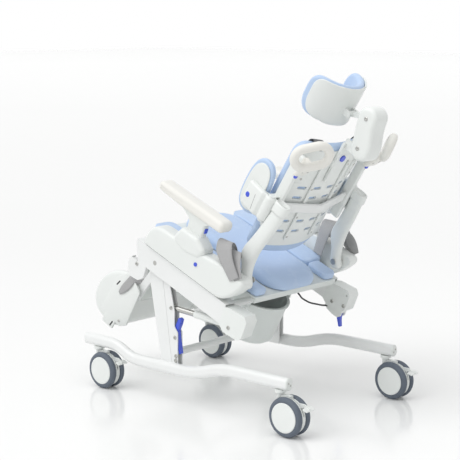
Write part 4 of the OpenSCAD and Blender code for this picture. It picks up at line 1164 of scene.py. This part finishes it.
for name, sign in SIDES:
    straps["hip_belts"].append(band("hip_belt_" + name, hip_stations, SEAT, "seat", belt_web, sign))
    band("hip_tail_" + name, tail_stations, SEAT, "seat", belt_web, sign)
    straps["ankle_straps"].append(band("ankle_strap_" + name, ankle_stations, SEAT, "footrest",
                                       belt_web, sign))
    straps["shoulder_straps"].append(band("shoulder_strap_" + name, shoulder_stations, BACK, "back",
                                          dark_web, sign))
for node, pieces in straps.items():
    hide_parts(node)
print("straps made")

# %% [markdown]
# ## The trigger cable
# The cable is one smooth curve from the gland in the seat tray to the trigger's housing. The CAD
# tube has flat sides, so the same route is drawn again as a round curve with a bevel.

# %% Cable
def trigger_cable():
    route = [(-40, 343, 45.7), (-40, 343, 41), (-43, 347, 34), (-53, 351, 25), (-64, 350, 16),
             (-78, 347, 7), (-96, 342, -3), (-117, 340, -14), (-140, 339, -25), (-163, 338, -34),
             (-186, 338, -41), (-208, 338, -48), (-226, 339, -53), (-240, 341, -55),
             (-249.5, 343, -56)]
    mesh = bmesh.new()
    points = [SEAT @ Vector(p) for p in spline(route, 4)]
    rows = []
    side = Vector((0, 0, 1))
    for i, p in enumerate(points):
        t = (points[min(i + 1, len(points) - 1)] - points[max(i - 1, 0)]).normalized()
        u = t.cross(side).normalized()
        v = t.cross(u)
        rows.append([mesh.verts.new(p + (u * math.cos(a) + v * math.sin(a)) * 2.9 * MM)
                     for a in (2 * math.pi * k / 16 for k in range(16))])
    join_rows(mesh, rows)
    mesh.faces.new(rows[0])
    mesh.faces.new(rows[-1])
    return finish_piece("trigger_cable_sheath", mesh, "seat", black, ["trigger_cable"])


trigger_cable()
print("cable made")

# %% [markdown]
# ## Studio
# A high-key studio: one seamless pale floor, a sun with a very wide disc from the chair's left
# as a soft key, a large lamp overhead, and a steady light from every side through the world. The
# floor is slightly glossy, so the wheels leave a faint reflection. Rays that the camera and the
# glossy floor send past everything meet plain white, which adds no light to the chair.

# %% Floor and world
def studio_floor():
    mesh = bmesh.new()
    size = 40.0
    corners = [mesh.verts.new((x, y, 0)) for x, y in ((-size, -size), (size, -size), (size, size),
                                                     (-size, size))]
    mesh.faces.new(corners)
    data = bpy.data.meshes.new("studio_floor")
    mesh.to_mesh(data)
    mesh.free()
    p = Paint("studio_floor_white")
    p.set(Base_Color=(0.94, 0.945, 0.94), Roughness=0.16)
    p.shader.inputs["Specular IOR Level"].default_value = 0.4
    data.materials.append(p.material)
    o = bpy.data.objects.new("studio_floor", data)
    bpy.context.scene.collection.objects.link(o)
    return o


WORLD_LIGHT = 0.66


def studio_world():
    world = bpy.data.worlds.new("studio_world")
    world.use_nodes = True
    tree = world.node_tree
    background = tree.nodes["Background"]
    path = tree.nodes.new("ShaderNodeLightPath")
    plain = tree.nodes.new("ShaderNodeMath")
    plain.operation = "MAXIMUM"
    tree.links.new(path.outputs["Is Camera Ray"], plain.inputs[0])
    tree.links.new(path.outputs["Is Glossy Ray"], plain.inputs[1])
    strength = tree.nodes.new("ShaderNodeMapRange")
    strength.inputs["To Min"].default_value = WORLD_LIGHT
    strength.inputs["To Max"].default_value = 1.0
    tree.links.new(plain.outputs[0], strength.inputs["Value"])
    tree.links.new(strength.outputs[0], background.inputs["Strength"])
    background.inputs["Color"].default_value = (1.0, 1.0, 1.0, 1.0)
    bpy.context.scene.world = world


studio_floor()
studio_world()
print("floor and world made")


# %% Lamps
def lamp(name, kind, strength, place, towards, **settings):
    """A lamp at a place, whose light comes from the direction called towards."""
    data = bpy.data.lights.new(name, kind)
    data.energy = strength
    for key, value in settings.items():
        setattr(data, key, value)
    o = bpy.data.objects.new(name, data)
    o.location = place
    o.rotation_euler = Vector(towards).to_track_quat("Z", "Y").to_euler()
    bpy.context.scene.collection.objects.link(o)


lamp("key_sun", "SUN", 1.25, (0, 0, 0), (0.75, -0.30, 0.85), angle=math.radians(50))
lamp("top_soft", "AREA", 14, (0.4, 0.6, 3.2), (0.4, 0.6, 2.7), shape="RECTANGLE", size=2.4,
     size_y=2.4)
print("lamps lit")

# %% [markdown]
# ## Camera
# The camera stands behind the chair's left side, a little above it, with a long lens, which keeps
# the verticals nearly parallel.

# %% Camera
CAMERA_PLACE = (3.22997, 2.8382, 1.24508)
CAMERA_TURN, CAMERA_RISE = math.radians(41.9), math.radians(9.136)
LENS_MM = 102.16


def studio_camera():
    data = bpy.data.cameras.new("studio_camera")
    data.lens = LENS_MM
    data.sensor_width = 36.0
    data.clip_end = 100.0
    o = bpy.data.objects.new("studio_camera", data)
    a = math.pi / 2 + CAMERA_TURN
    level = math.cos(CAMERA_RISE)
    backward = Vector((math.sin(a) * level, -math.cos(a) * level, math.sin(CAMERA_RISE)))
    right = Vector((math.cos(a), math.sin(a), 0.0))
    up = backward.cross(right)
    m = Matrix((right, up, backward)).transposed().to_4x4()
    m.translation = Vector(CAMERA_PLACE)
    o.matrix_world = m
    bpy.context.scene.collection.objects.link(o)
    bpy.context.scene.camera = o


studio_camera()
bpy.context.scene.view_settings.view_transform = "Standard"
print("camera placed")

# %% [markdown]
# ## Finish
# The last step brings the scene up to date.

# %% Update the scene
bpy.context.view_layer.update()
